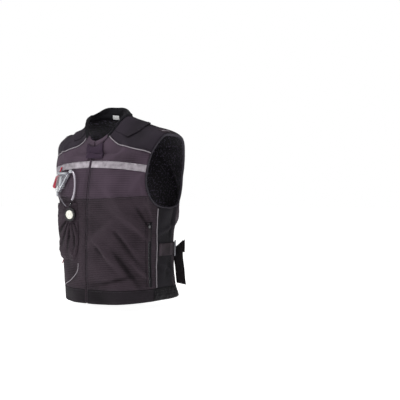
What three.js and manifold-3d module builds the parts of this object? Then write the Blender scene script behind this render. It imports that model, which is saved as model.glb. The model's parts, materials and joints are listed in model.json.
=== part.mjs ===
// Motorcycle airbag vest, as worn: a sleeveless shell with a zip front, a padded collar,
// an inflator on the wearer's right chest and a webbing adjuster at each side.
// Lengths are millimetres. +Z is up, the front faces -Y and the wearer's left is +X.
// The origin is the middle of the neck opening, level with the collar's sides.
import * as THREE from 'three';
import Module from 'manifold-3d';

// Main lengths of the torso
const bodyLength = 602;
const chestWidth = 462;
const chestDepth = 294;
const neckWidth = 172;
const neckDepth = 130;
const neckDrop = 98;
const collarHeight = 39;
const foldHeight = 7;

// Cloth thicknesses and clearances
const shellWall = 3;
const liningWall = 1.5;
const collarWall = 4.5;
const patchWall = 1.2;
const pieceGap = 0.6;
const seamGap = 0.5;
const liningGap = 2;

// Armholes
const armholeHeight = 226;
const armholeHalfSpread = 33;
const armholeMiddle = 91;
const bindingWidth = 5;
const bindingStand = 1.2;
const bindingDepth = 4.6;

// Bands, seams and trim
const hemHeight = 44;
const gatherHeight = 2.4;
const pipingRadius = 1.6;
const zipWidth = 6;
const zipThickness = 1.6;
const stripeHeight = 22;
const tabWidth = 60;
const tabHeight = 54;
const tabWall = 3;
const labelWidth = 26;
const labelHeight = 14;
const labelSag = 0.9;
const hipZipLength = 205;
const hipZipWidth = 9;
const hipWeltWidth = 6;
const pullerLength = 44;
const pullerWidth = 9;
const flapWidth = 52;
const shoulderTabWidth = 30;
const shoulderTabLength = 44;

// Side adjusters
const strapHeight = 40;
const strapLength = 96;
const strapWall = 2;
const buckleWidth = 30;
const buckleHeight = 50;
const buckleBar = 5;
const buckleThickness = 6;
const slotStep = 1;
const tailLength = 118;
const tailTurn = 55;
const tailOut = 13;
const tailLean = 11;
const anchorLength = 34;

// Inflator and its pocket
const pocketWidth = 130;
const pocketHeight = 182;
const pocketDepth = 15;
const inflatorWidth = 68;
const inflatorFoot = 24;
const inflatorHeight = 64;
const inflatorDepth = 13;
const inflatorEdge = 2.5;
const cartridgeRadius = 7;
const cartridgeLength = 46;
const fittingRadius = 5.5;
const fittingLength = 12;
const hoseRadius = 3.2;
const discRadius = 16;
const discThickness = 4;
const bezelRadius = 21;
const bezelThickness = 3;
const lanyardRadius = 1.3;
const tagWidth = 7;
const tagHeight = 16;

// Sections of the torso, hem first. drop is a share of bodyLength, frontFall and backRise
// are shares of neckDrop, half is a share of chestWidth, front, back and middle of chestDepth.
const torsoSections = [
  {
    level: 0.00, drop: 1.000, frontFall: 0.08, backRise: 0.04,
    half: 0.381, front: 0.517, back: 0.578, middle: 0.150, square: 2.5, squareBack: 3.2,
  },
  {
    level: 0.14, drop: 0.872, frontFall: 0.00, backRise: 0.00,
    half: 0.390, front: 0.510, back: 0.466, middle: 0.143, square: 2.5, squareBack: 3.2,
  },
  {
    level: 0.30, drop: 0.714, frontFall: -0.02, backRise: 0.00,
    half: 0.403, front: 0.507, back: 0.412, middle: 0.136, square: 2.5, squareBack: 3.2,
  },
  {
    level: 0.42, drop: 0.598, frontFall: -0.02, backRise: 0.00,
    half: 0.420, front: 0.510, back: 0.412, middle: 0.143, square: 2.5, squareBack: 3.2,
  },
  {
    level: 0.52, drop: 0.498, frontFall: -0.02, backRise: 0.04,
    half: 0.446, front: 0.517, back: 0.439, middle: 0.150, square: 2.5, squareBack: 3.2,
  },
  {
    level: 0.64, drop: 0.357, frontFall: 0.00, backRise: 0.08,
    half: 0.481, front: 0.483, back: 0.435, middle: 0.150, square: 2.65, squareBack: 3.2,
  },
  {
    level: 0.74, drop: 0.233, frontFall: 0.10, backRise: 0.12,
    half: 0.500, front: 0.415, back: 0.429, middle: 0.143, square: 2.6, squareBack: 3.2,
  },
  {
    level: 0.82, drop: 0.120, frontFall: 0.63, backRise: 0.14,
    half: 0.496, front: 0.374, back: 0.381, middle: 0.136, square: 2.4, squareBack: 3.0,
  },
  {
    level: 0.91, drop: 0.060, frontFall: 0.86, backRise: 0.10,
    half: 0.333, front: 0.333, back: 0.313, middle: 0.095, square: 2.15, squareBack: 2.4,
  },
];

// Sections of the neck and collar, seam first. seat and backRise are shares of collarHeight,
// frontFall of neckDrop, half of neckWidth, front and back of neckDepth.
const neckSections = [
  {
    level: 1.00, seat: -0.41, frontFall: 1.00, backRise: 0.00,
    half: 0.500, front: 0.508, back: 0.470, square: 2.05, squareBack: 2.05,
  },
  {
    level: 1.04, seat: -0.26, frontFall: 0.98, backRise: 0.24,
    half: 0.464, front: 0.508, back: 0.425, square: 2.0, squareBack: 2.0,
  },
  {
    level: 1.08, seat: -0.05, frontFall: 0.93, backRise: 0.64,
    half: 0.432, front: 0.523, back: 0.400, square: 2.0, squareBack: 2.0,
  },
];

// Soft folds of the shell: place, reach along and across the fold in degrees and levels,
// slant of the fold, and its height as a share of foldHeight.
const folds = [
  { at: 44, level: 0.515, along: 24, across: 0.034, slant: 0.0016, height: 0.62 },
  { at: 28, level: 0.400, along: 26, across: 0.036, slant: -0.0034, height: 0.40 },
  { at: 12, level: 0.170, along: 22, across: 0.060, slant: -0.0030, height: 0.55 },
  { at: -38, level: 0.150, along: 20, across: 0.050, slant: 0.0030, height: 0.40 },
  { at: 160, level: 0.520, along: 26, across: 0.040, slant: 0.0018, height: 0.55 },
  { at: 205, level: 0.440, along: 26, across: 0.040, slant: -0.0020, height: 0.50 },
  { at: 176, level: 0.300, along: 34, across: 0.040, slant: 0.0008, height: 0.45 },
];

// Seams in degrees round the body and levels up it
const sideSeam = [[85.5, 0], [85, 0.14], [84.5, 0.31], [82, 0.42], [79.5, 0.53]];
const backSeam = 108;
const chestSeamFront = 0.547;
const chestSeamSide = 0.566;
const yokeSeam = [[57, 0.748], [38.5, 0.795], [32, 0.88], [36, 1]];
const backYokeLevel = 0.765;
const ridge = 92;
const collarOpening = 2.2;

const clothColour = 0x4a4149;
const meshColour = 0x39333a;
const yokeColour = 0x2d2a32;
const darkColour = 0x16161a;
const greyColour = 0xaaa6ac;

const column = (key, list) => list.map((row) => row[key]);
const sign = (value) => (value < 0 ? -1 : 1);
const power = (value, exponent) => sign(value) * Math.abs(value) ** exponent;
const fullTurn = 360;
const radians = (degrees) => (degrees * Math.PI) / 180;
const inDegrees = (angle) => (angle * 180) / Math.PI;
const mix = (a, b, share) => a + (b - a) * share;

// Both tables as lengths in millimetres
const sections = torsoSections.map((row) => ({
  level: row.level,
  side: -row.drop * bodyLength,
  frontRise: -row.frontFall * neckDrop,
  backRise: row.backRise * neckDrop,
  half: row.half * chestWidth,
  front: row.front * chestDepth,
  back: row.back * chestDepth,
  middle: row.middle * chestDepth,
  square: row.square,
  squareBack: row.squareBack,
})).concat(neckSections.map((row) => ({
  level: row.level,
  side: row.seat * collarHeight,
  frontRise: -row.frontFall * neckDrop,
  backRise: row.backRise * collarHeight,
  half: row.half * neckWidth,
  front: row.front * neckDepth,
  back: row.back * neckDepth,
  middle: 0,
  square: row.square,
  squareBack: row.squareBack,
})));

// One smooth curve through a column of the sections
const levels = column('level', sections);
const smoothers = {};
for (const key of Object.keys(sections[0]).filter((name) => name !== 'level')) {
  const values = column(key, sections);
  const last = values.length - 1;
  const rates = values.slice(1).map((value, i) => (value - values[i]) / (levels[i + 1] - levels[i]));
  const slopes = values.map((_, i) => {
    if (i === 0) return rates[0];
    if (i === last) return rates[last - 1];
    return (rates[i - 1] + rates[i]) / 2;
  });
  smoothers[key] = (level) => {
    let i = 0;
    while (i < last - 1 && level > levels[i + 1]) i += 1;
    const span = levels[i + 1] - levels[i];
    const t = (level - levels[i]) / span;
    const rise = t * t * (3 - 2 * t);
    return values[i] * (1 - rise) + values[i + 1] * rise
      + span * (t * (1 - t) ** 2 * slopes[i] - t * t * (1 - t) * slopes[i + 1]);
  };
}

// The unbroken form of the vest, without folds
function form(degrees, level) {
  const sine = Math.sin(radians(degrees));
  const cosine = Math.cos(radians(degrees));
  const ahead = cosine > 0;
  const bend = 2 / (ahead ? smoothers.square(level) : smoothers.squareBack(level));
  const depth = ahead ? -smoothers.front(level) : smoothers.back(level);
  const rise = ahead ? smoothers.frontRise(level) : smoothers.backRise(level);
  return new THREE.Vector3(
    smoothers.half(level) * power(sine, bend),
    smoothers.middle(level) + depth * Math.abs(cosine) ** bend,
    smoothers.side(level) + rise * cosine * cosine,
  );
}

// Degrees at which a line keeps a steady distance from the middle of the front
const beside = (distance, level) => {
  const share = (distance / smoothers.half(level)) ** (smoothers.square(level) / 2);
  return inDegrees(Math.asin(Math.min(1, share)));
};
const frontEdge = (from, to) => (share) => {
  const level = mix(from, to, share);
  return [beside(zipWidth / 2, level), level];
};

// Outward direction of the form, and its two speeds in millimetres
function directions(degrees, level) {
  const step = 0.6;
  const rise = 0.003;
  const along = form(degrees + step, level).sub(form(degrees - step, level)).divideScalar(2 * step);
  const up = form(degrees, level + rise).sub(form(degrees, level - rise)).divideScalar(2 * rise);
  return { along, up, normal: along.clone().cross(up).normalize() };
}

function foldAt(degrees, level) {
  let height = 0;
  for (const fold of folds) {
    const turn = ((degrees - fold.at + 1.5 * fullTurn) % fullTurn) - fullTurn / 2;
    const lift = level - fold.level - turn * fold.slant;
    height += fold.height * foldHeight
      * Math.exp(-((turn / fold.along) ** 2)) * Math.exp(-((lift / fold.across) ** 2));
  }
  return height;
}

// A point raised above the unbroken form, and one raised above the folded outer surface
const raised = (degrees, level, out) => form(degrees, level)
  .addScaledVector(directions(degrees, level).normal, out);
const surface = ([degrees, level], out) => raised(degrees, level, out + foldAt(degrees, level));

// The place that lies so many millimetres along and up from a start
function travel([degrees, level], along, up) {
  const steps = 6;
  let place = [degrees, level];
  for (let i = 0; i < steps; i += 1) {
    place = [place[0], place[1] + up / steps / directions(...place).up.length()];
  }
  for (let i = 0; i < steps; i += 1) {
    place = [place[0] + along / steps / directions(...place).along.length(), place[1]];
  }
  return place;
}

// Armhole edge, grown outwards by so many millimetres; 0 is rearmost and 90 the top
const armholeTop = 0.822;
const shoulderTipHeight = form(ridge, armholeTop).z;
function levelAtHeight(height) {
  let low = 0;
  let high = armholeTop;
  for (let i = 0; i < 30; i += 1) {
    const middle = (low + high) / 2;
    if (form(ridge, middle).z < height) low = middle;
    else high = middle;
  }
  return low;
}
const armholeBottom = levelAtHeight(shoulderTipHeight - armholeHeight);
const armholeLevel = (armholeTop + armholeBottom) / 2;
const degreesEachMillimetre = 1 / 2.6;
const levelsEachMillimetre = 1 / 740;
const squareness = (sine) => (sine > 0 ? 2.6 : 2.0);
function armhole(angle, grow) {
  const sine = Math.sin(radians(angle));
  const cosine = Math.cos(radians(angle));
  const bend = 2 / squareness(sine);
  const spread = armholeHalfSpread + grow * degreesEachMillimetre;
  const rise = (armholeTop - armholeBottom) / 2 + grow * levelsEachMillimetre;
  return [armholeMiddle + spread * power(cosine, bend), armholeLevel + rise * power(sine, bend)];
}

// Panels stop outside the binding
const panelGrow = bindingWidth + 1.1;
function angleAtLevel(level, rear) {
  const rise = (armholeTop - armholeBottom) / 2 + panelGrow * levelsEachMillimetre;
  const share = (level - armholeLevel) / rise;
  const angle = inDegrees(Math.asin(power(share, squareness(share) / 2)));
  return rear ? angle : fullTurn / 2 - angle;
}
function angleBelow(degrees) {
  const spread = armholeHalfSpread + panelGrow * degreesEachMillimetre;
  const share = (degrees - armholeMiddle) / spread;
  return -inDegrees(Math.acos(power(share, squareness(-1) / 2)));
}
const alongArmhole = (from, to) => (share) => armhole(mix(from, to, share), panelGrow);

// Lines over the form, each a function of a share from 0 to 1
const line = (from, to) => (share) => [mix(from[0], to[0], share), mix(from[1], to[1], share)];
const degreesScale = 200;
function curve(points) {
  const spline = new THREE.SplineCurve(points.map(([a, b]) => new THREE.Vector2(a / degreesScale, b)));
  return (share) => {
    const point = spline.getPoint(share);
    return [point.x * degreesScale, point.y];
  };
}
const chain = (first, share, second) => (t) => (
  t < share ? first(t / share) : second((t - share) / (1 - share)));
const mirrored = (map) => (u, w) => {
  const [degrees, level] = map(1 - u, w);
  return [-degrees, level];
};

// A four-sided patch between its bottom, top, left and right lines
function patch(bottom, top, left, right) {
  const corners = [bottom(0), bottom(1), top(0), top(1)];
  return (u, w) => [0, 1].map((k) => (
    (1 - w) * bottom(u)[k] + w * top(u)[k] + (1 - u) * left(w)[k] + u * right(w)[k]
    - (1 - w) * ((1 - u) * corners[0][k] + u * corners[1][k])
    - w * ((1 - u) * corners[2][k] + u * corners[3][k])));
}
const rectangle = (centre, width, height) => (u, w) => (
  travel(centre, (u - 0.5) * width, (w - 0.5) * height));

function solid(points, faces) {
  const geometry = new THREE.BufferGeometry();
  const numbers = points.flatMap((point) => [point.x, point.y, point.z]);
  geometry.setAttribute('position', new THREE.Float32BufferAttribute(numbers, 3));
  geometry.setIndex(faces.flat());
  geometry.computeVertexNormals();
  return geometry;
}

// A wall of cloth over a patch: outer and inner faces joined round its edge
function wall(map, outer, inner, columns, rows, gap = seamGap) {
  const middle = (u, w) => surface(map(u, w), 0);
  const across = middle(0, 0.5).distanceTo(middle(0.5, 0.5)) + middle(0.5, 0.5).distanceTo(middle(1, 0.5));
  const tall = middle(0.5, 0).distanceTo(middle(0.5, 0.5)) + middle(0.5, 0.5).distanceTo(middle(0.5, 1));
  const edgeU = gap / 2 / across;
  const edgeW = gap / 2 / tall;
  const outerHeight = typeof outer === 'function' ? outer : () => outer;
  const innerHeight = typeof inner === 'function' ? inner : () => inner;
  const points = [];
  for (const height of [outerHeight, innerHeight]) {
    for (let j = 0; j <= rows; j += 1) {
      for (let i = 0; i <= columns; i += 1) {
        const u = i / columns;
        const w = j / rows;
        points.push(surface(map(mix(edgeU, 1 - edgeU, u), mix(edgeW, 1 - edgeW, w)), height(u, w)));
      }
    }
  }
  const side = (columns + 1) * (rows + 1);
  const at = (i, j, layer) => layer * side + j * (columns + 1) + i;
  const faces = [];
  for (let j = 0; j < rows; j += 1) {
    for (let i = 0; i < columns; i += 1) {
      faces.push([at(i, j, 0), at(i + 1, j, 0), at(i + 1, j + 1, 0)]);
      faces.push([at(i, j, 0), at(i + 1, j + 1, 0), at(i, j + 1, 0)]);
      faces.push([at(i, j, 1), at(i + 1, j + 1, 1), at(i + 1, j, 1)]);
      faces.push([at(i, j, 1), at(i, j + 1, 1), at(i + 1, j + 1, 1)]);
    }
  }
  const rim = [];
  for (let i = 0; i < columns; i += 1) rim.push([i, 0]);
  for (let j = 0; j < rows; j += 1) rim.push([columns, j]);
  for (let i = columns; i > 0; i -= 1) rim.push([i, rows]);
  for (let j = rows; j > 0; j -= 1) rim.push([0, j]);
  rim.forEach(([i, j], k) => {
    const [nextI, nextJ] = rim[(k + 1) % rim.length];
    faces.push([at(i, j, 0), at(i, j, 1), at(nextI, nextJ, 1)]);
    faces.push([at(i, j, 0), at(nextI, nextJ, 1), at(nextI, nextJ, 0)]);
  });
  return solid(points, faces);
}

// A closed loop swept round stations, each a ring of section points
function loop(rings) {
  const count = rings[0].length;
  const faces = [];
  rings.forEach((_, k) => {
    const next = (k + 1) % rings.length;
    for (let i = 0; i < count; i += 1) {
      const j = (i + 1) % count;
      faces.push([k * count + i, next * count + i, next * count + j]);
      faces.push([k * count + i, next * count + j, k * count + j]);
    }
  });
  return solid(rings.flat(), faces);
}

// A round cord along points in space
function cord(points, radius, steps, sides) {
  const section = new THREE.Shape();
  for (let i = 0; i < sides; i += 1) {
    const angle = (i * 2 * Math.PI) / sides;
    const method = i === 0 ? 'moveTo' : 'lineTo';
    section[method](radius * Math.cos(angle), radius * Math.sin(angle));
  }
  const extrudePath = new THREE.CatmullRomCurve3(points);
  return new THREE.ExtrudeGeometry(section, { steps, extrudePath });
}
function cordOver(route, radius, out, steps, samples = 14) {
  const points = Array.from({ length: samples + 1 }, (_, i) => surface(route(i / samples), out));
  return cord(points, radius, steps, 6);
}

const vest = new THREE.Group();
function add(name, geometry, colour, roughness = 0.85, metalness = 0) {
  const material = new THREE.MeshStandardMaterial({ color: colour, roughness, metalness });
  const mesh = new THREE.Mesh(geometry, material);
  mesh.name = name;
  vest.add(mesh);
  return mesh;
}
// Seats a hard piece on the form: its x runs round the body, its y up and its z outwards
function seat(mesh, place, out, turn = 0) {
  const { along, up, normal } = directions(...place);
  const flatAlong = along.addScaledVector(normal, -along.dot(normal)).normalize();
  const flatUp = normal.clone().cross(flatAlong);
  mesh.position.copy(surface(place, out));
  mesh.quaternion.setFromRotationMatrix(new THREE.Matrix4().makeBasis(flatAlong, flatUp, normal));
  mesh.rotateZ(radians(turn));
  return mesh;
}

const sides = [
  { name: 'left', side: 1, place: (map) => map },
  { name: 'right', side: -1, place: mirrored },
];
const hemLevel = travel([0, 0.002], 0, hemHeight)[1];

// The side seam meets the armhole; its degrees there fix where the panels part
const seamLine = curve(sideSeam);
const sideTop = sideSeam[sideSeam.length - 1][0];
const chestEnd = angleAtLevel(chestSeamSide, false);
const yokeEnd = angleAtLevel(yokeSeam[0][1], false);
const rearEnd = angleAtLevel(backYokeLevel, true);
const sideAngle = angleBelow(sideTop) + fullTurn;
const backAngle = angleBelow(backSeam);
const sideEdge = (share) => {
  const top = armhole(sideAngle, panelGrow);
  const level = mix(hemLevel, top[1], share);
  const below = seamLine(share)[0];
  return [below, level];
};
const chestSeam = line(frontEdge(chestSeamFront, 1)(0), armhole(chestEnd, panelGrow));
const yokeLine = curve([armhole(yokeEnd, panelGrow), ...yokeSeam.slice(1)]);
const ridgeLine = line(armhole(90, panelGrow), [ridge, 1]);

// Front, side and shoulder panels of both sides
function addPanels({ name, place }) {
  const lower = patch(
    line(frontEdge(hemLevel, 1)(0), sideEdge(0)),
    chain(chestSeam, 10 / 13, alongArmhole(chestEnd, sideAngle)),
    frontEdge(hemLevel, chestSeamFront),
    sideEdge,
  );
  add(`front_lower_${name}`, wall(place(lower), 0, -shellWall, 13, 7), meshColour);
  const chest = patch(
    chestSeam,
    line(frontEdge(0, 1)(1), [yokeSeam[3][0], 1]),
    frontEdge(chestSeamFront, 1),
    chain(alongArmhole(chestEnd, yokeEnd), 7 / 13, yokeLine),
  );
  add(`front_chest_${name}`, wall(place(chest), 0, -shellWall, 8, 13), clothColour);
  const side = patch(
    line(sideEdge(0), [backSeam, hemLevel]),
    alongArmhole(sideAngle, fullTurn + backAngle),
    sideEdge,
    line([backSeam, hemLevel], armhole(backAngle, panelGrow)),
  );
  add(`side_panel_${name}`, wall(place(side), 0, -shellWall, 4, 8), yokeColour);
  const yoke = patch(
    alongArmhole(yokeEnd, 90),
    line([yokeSeam[3][0], 1], [ridge, 1]),
    yokeLine,
    ridgeLine,
  );
  add(`yoke_${name}`, wall(place(yoke), 0, -shellWall, 7, 6), yokeColour);
}

// The back panel and back yoke run from side to side
function addBack() {
  const across = (share) => [fullTurn - share[0], share[1]];
  const lowerLeft = chain(
    line([backSeam, hemLevel], armhole(backAngle, panelGrow)),
    7 / 14,
    alongArmhole(backAngle, rearEnd),
  );
  const rear = armhole(rearEnd, panelGrow);
  const lower = patch(
    line([backSeam, hemLevel], [fullTurn - backSeam, hemLevel]),
    line(rear, across(rear)),
    lowerLeft,
    (share) => across(lowerLeft(share)),
  );
  add('back_panel', wall(lower, 0, -shellWall, 16, 14), meshColour);
  const upperLeft = chain(alongArmhole(rearEnd, 90), 4 / 10, ridgeLine);
  const upper = patch(
    line(rear, across(rear)),
    line([ridge, 1], [fullTurn - ridge, 1]),
    upperLeft,
    (share) => across(upperLeft(share)),
  );
  add('yoke_back', wall(upper, 0, -shellWall, 16, 10), yokeColour);
}

// Hem: plain bands at the front and back, gathered elastic at each side
const elasticFrom = 82;
const elasticTo = 112;
const gathers = 7;
function addHem({ name, place }) {
  const front = patch(
    line(frontEdge(0, 1)(0), [elasticFrom, 0]),
    line(frontEdge(hemLevel, 1)(0), [elasticFrom, hemLevel]),
    frontEdge(0, hemLevel),
    line([elasticFrom, 0], [elasticFrom, hemLevel]),
  );
  add(`hem_band_front_${name}`, wall(place(front), 0, -shellWall, 12, 2), yokeColour);
  const elastic = patch(
    line([elasticFrom, 0], [elasticTo, 0]),
    line([elasticFrom, hemLevel], [elasticTo, hemLevel]),
    line([elasticFrom, 0], [elasticFrom, hemLevel]),
    line([elasticTo, 0], [elasticTo, hemLevel]),
  );
  const ripple = (u) => gatherHeight * (1 - Math.cos(u * gathers * 2 * Math.PI)) / 2;
  const bulge = (u, w) => ripple(u) * Math.sin(w * Math.PI) + gatherHeight * Math.sin(w * Math.PI);
  add(
    `hem_elastic_${name}`,
    wall(place(elastic), bulge, (u, w) => bulge(u, w) - shellWall, 2 * gathers, 3),
    darkColour,
  );
}
function addHemBack() {
  const back = patch(
    line([elasticTo, 0], [fullTurn - elasticTo, 0]),
    line([elasticTo, hemLevel], [fullTurn - elasticTo, hemLevel]),
    line([elasticTo, 0], [elasticTo, hemLevel]),
    line([fullTurn - elasticTo, 0], [fullTurn - elasticTo, hemLevel]),
  );
  add('hem_band_back', wall(back, 0, -shellWall, 16, 2), yokeColour);
}

// Padded stand collar, open at the front, with its square closing tab and a bare label
const collarTop = neckSections[neckSections.length - 1].level;
const tabCentre = [1.5, 0.868];
const labelCentre = [192, 1.022];
function addCollar() {
  const collar = patch(
    line([collarOpening, 1], [fullTurn - collarOpening, 1]),
    line([collarOpening, collarTop], [fullTurn - collarOpening, collarTop]),
    line([collarOpening, 1], [collarOpening, collarTop]),
    line([fullTurn - collarOpening, 1], [fullTurn - collarOpening, collarTop]),
  );
  add('collar', wall(collar, 0, -collarWall, 32, 3), darkColour);
  const tab = rectangle(tabCentre, tabWidth, tabHeight);
  const low = pieceGap + 1;
  add('collar_tab', wall(tab, low + tabWall, low, 5, 5, 0), 0x3a2f3c);
  const label = rectangle(labelCentre, labelWidth, labelHeight);
  const labelSeat = -collarWall - pieceGap - labelSag;
  add('neck_label', wall(label, labelSeat, labelSeat - patchWall, 3, 1, 0), 0xe8e6e2);
}

// Raised shoulder pieces: a broad flap from the neck and a small tab at the tip
const flapOuter = 0.9;
function addShoulder({ name, place }) {
  const start = travel([44, 0.992], 0, -flapWidth)[1];
  const edge = curve([[47, start], [62, flapOuter], [82, flapOuter + 0.01], [103, 0.928], [122, 0.94]]);
  const flap = patch(
    edge,
    line([47, 0.992], [122, 0.992]),
    line([47, start], [47, 0.992]),
    line([122, 0.94], [122, 0.992]),
  );
  const low = pieceGap + 0.6;
  add(`shoulder_flap_${name}`, wall(place(flap), low + patchWall, low, 8, 3, 0), yokeColour);
  const tip = travel([ridge - 4, 0.83], 0, shoulderTabWidth / 2);
  const tab = rectangle(tip, shoulderTabLength, shoulderTabWidth);
  add(`shoulder_tab_${name}`, wall(place(tab), pieceGap + patchWall, pieceGap, 6, 4, 0), darkColour);
}

// Reflective stripe across the chest, in two halves that meet at the zip
const stripeTop = [[beside(zipWidth / 2 + pieceGap, 0.72), 0.72], [24, 0.711], [40, 0.702], [55.2, 0.694]];
function addStripe({ name, place }) {
  const top = curve(stripeTop);
  const bottom = (share) => travel(top(share), 0, -stripeHeight);
  const stripe = patch(bottom, top, line(bottom(0), top(0)), line(bottom(1), top(1)));
  const low = pieceGap + 0.3;
  add(`reflective_stripe_${name}`, wall(place(stripe), low + patchWall, low, 12, 2, 0), greyColour, 0.4);
}

// Thin piping over the yoke seam and down the side seam
function addPiping({ name, place, side }) {
  const spot = (route, low, high) => (share) => {
    const [degrees, level] = route(mix(low, high, share));
    return [side * degrees, level];
  };
  const out = pieceGap + pipingRadius;
  add(`piping_yoke_${name}`, cordOver(spot(yokeLine, 0.03, 0.97), pipingRadius, out, 12), greyColour);
  add(`piping_side_${name}`, cordOver(spot(sideEdge, 0.02, 0.96), pipingRadius, out, 10), greyColour);
  const count = 36;
  const section = [
    [0.4, 0.4 - bindingDepth], [0, -bindingDepth / 2], [0.6, bindingStand],
    [bindingWidth, bindingStand], [bindingWidth, -bindingDepth],
  ];
  const rings = Array.from({ length: count }, (_, k) => section.map(([grow, out]) => {
    const [degrees, level] = armhole((-side * k * fullTurn) / count, grow);
    return surface([side * degrees, level], out);
  }));
  add(`armhole_binding_${name}`, loop(rings), 0x55525a);
}

// Lining: one inner sheet with both armholes cut through
const linedFrom = 0.012;
const linedTo = 0.985;
// Rows of the lining: share of its height, and how much deeper it lies there than liningGap
const linedRows = [
  [0, 0.2], [0.07, 0.8], [0.15, 0.8], [0.3, 1], [0.45, 0.8], [0.58, 0.3], [0.68, 0], [0.77, 0],
  [0.84, 0.6], [0.92, 3], [1, 1.4],
];
const plugReach = [30, -26];
async function addLining() {
  const library = await Module();
  library.setup();
  const count = 26;
  const rowCount = linedRows.length;
  const points = [];
  for (const depth of [shellWall + liningGap, shellWall + liningGap + liningWall]) {
    for (const [share, deeper] of linedRows) {
      for (let i = 0; i < count; i += 1) {
        points.push(raised((i * fullTurn) / count, mix(linedFrom, linedTo, share), -depth - deeper));
      }
    }
  }
  const at = (i, j, layer) => (layer * rowCount + j) * count + (i % count);
  const faces = [];
  for (let i = 0; i < count; i += 1) {
    for (let j = 0; j < rowCount - 1; j += 1) {
      faces.push([at(i, j, 0), at(i + 1, j, 0), at(i + 1, j + 1, 0)]);
      faces.push([at(i, j, 0), at(i + 1, j + 1, 0), at(i, j + 1, 0)]);
      faces.push([at(i, j, 1), at(i + 1, j + 1, 1), at(i + 1, j, 1)]);
      faces.push([at(i, j, 1), at(i, j + 1, 1), at(i + 1, j + 1, 1)]);
    }
    const top = rowCount - 1;
    faces.push([at(i, 0, 0), at(i, 0, 1), at(i + 1, 0, 1)]);
    faces.push([at(i, 0, 0), at(i + 1, 0, 1), at(i + 1, 0, 0)]);
    faces.push([at(i, top, 0), at(i + 1, top, 0), at(i + 1, top, 1)]);
    faces.push([at(i, top, 0), at(i + 1, top, 1), at(i, top, 1)]);
  }
  const toManifold = (geometry) => new library.Manifold(new library.Mesh({
    numProp: 3,
    vertProperties: new Float32Array(geometry.attributes.position.array),
    triVerts: new Uint32Array(geometry.index.array),
  }));
  let lining = toManifold(solid(points, faces));
  for (const { side } of sides) {
    const stations = 28;
    const plug = plugReach.map((out) => Array.from({ length: stations }, (_, k) => {
      const [degrees, level] = armhole((side * k * fullTurn) / stations, panelGrow);
      return surface([side * degrees, level], out);
    }));
    const middles = plugReach.map((out) => surface([side * armholeMiddle, armholeLevel], out * 1.4));
    const plugPoints = [...plug[0], ...plug[1], ...middles];
    const plugFaces = [];
    for (let k = 0; k < stations; k += 1) {
      const next = (k + 1) % stations;
      plugFaces.push([k, stations + k, stations + next], [k, stations + next, next]);
      plugFaces.push([2 * stations, k, next], [2 * stations + 1, stations + next, stations + k]);
    }
    lining = lining.subtract(toManifold(solid(plugPoints, plugFaces)));
  }
  const cut = lining.getMesh();
  const geometry = new THREE.BufferGeometry();
  geometry.setAttribute('position', new THREE.BufferAttribute(cut.vertProperties.slice(), cut.numProp));
  geometry.setIndex(Array.from(cut.triVerts));
  geometry.computeVertexNormals();
  add('lining', geometry, darkColour);
}

// Zip in the slit between the two fronts
const zipLow = 0.004;
const zipHigh = 0.93;
const zipSink = 0.8;
function addZip() {
  const zip = (u, w) => {
    const level = mix(zipLow, zipHigh, w);
    return [(2 * u - 1) * beside(zipWidth / 2, level), level];
  };
  add('front_zip', wall(zip, -zipSink, -zipSink - zipThickness, 1, 16, 2 * seamGap), darkColour);
}

// Zip pocket at the wearer's left hip, framed by two welts, with a webbing puller
const hipTop = [70.5, 0.433];
const hipTurn = 5.4;
const pullerTop = 0.93;
function addHipPocket() {
  const middle = (w) => travel([hipTop[0] + hipTurn * (1 - w), hipTop[1]], 0, (w - 1) * hipZipLength);
  const strip = (from, to) => (u, w) => travel(middle(w), mix(from, to, u), 0);
  const half = hipZipWidth / 2;
  const low = pieceGap + 0.3;
  add('hip_zip', wall(strip(-half, half), low + 1, low, 1, 12, 0), darkColour);
  for (const [name, turn] of [['front', -1], ['rear', 1]]) {
    const near = turn * (half + pieceGap);
    const far = turn * (half + pieceGap + hipWeltWidth);
    const welt = strip(Math.min(near, far), Math.max(near, far));
    add(`hip_welt_${name}`, wall(welt, low + 2, low, 1, 12, 0), clothColour);
  }
  const pulled = strip(-pullerWidth / 2, pullerWidth / 2);
  const puller = (u, w) => pulled(u, pullerTop - (1 - w) * pullerLength / hipZipLength);
  add('hip_puller', wall(puller, low + 3.6, low + 1.6, 1, 3, 0), darkColour);
}

// Curved piping of the slash pocket at the wearer's right hip
function addHipPiping() {
  const route = curve([[-6.8, 0.208], [-7.6, 0.177], [-12.5, 0.143], [-22.5, 0.108], [-35, 0.087]]);
  add('hip_piping', cordOver(route, pipingRadius * 0.8, pieceGap + pipingRadius, 10), greyColour);
}

// The inflator hangs under the stripe, and what belongs to it is placed in millimetres from it
const stripeOverInflator = [-26.5, 0.711];
const inflatorDrop = 8;
const inflatorSeat = travel(stripeOverInflator, 0, -stripeHeight - inflatorHeight / 2 - inflatorDrop);
const fromInflator = (along, up) => travel(inflatorSeat, along, up);
const cartridgeTurn = -12;
const cartridgeLean = (cartridgeLength / 2) * Math.sin(radians(-cartridgeTurn));
const cartridgeSeat = fromInflator(-inflatorWidth / 2 - cartridgeRadius - cartridgeLean - pieceGap, 1.4);
const fittingTurn = 8;
const fittingPlace = [inflatorWidth / 2 + fittingLength / 2 + 2.6, inflatorHeight / 2 + 1];
const pocketPlace = [3, -inflatorHeight / 2 - pocketHeight / 2 - 40];
const discPlace = [pocketPlace[0] + 43.4, pocketPlace[1] + pocketHeight / 2 - 35];
const pocketCentre = fromInflator(...pocketPlace);
const fittingSeat = fromInflator(...fittingPlace);
const discSeat = fromInflator(...discPlace);

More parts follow.
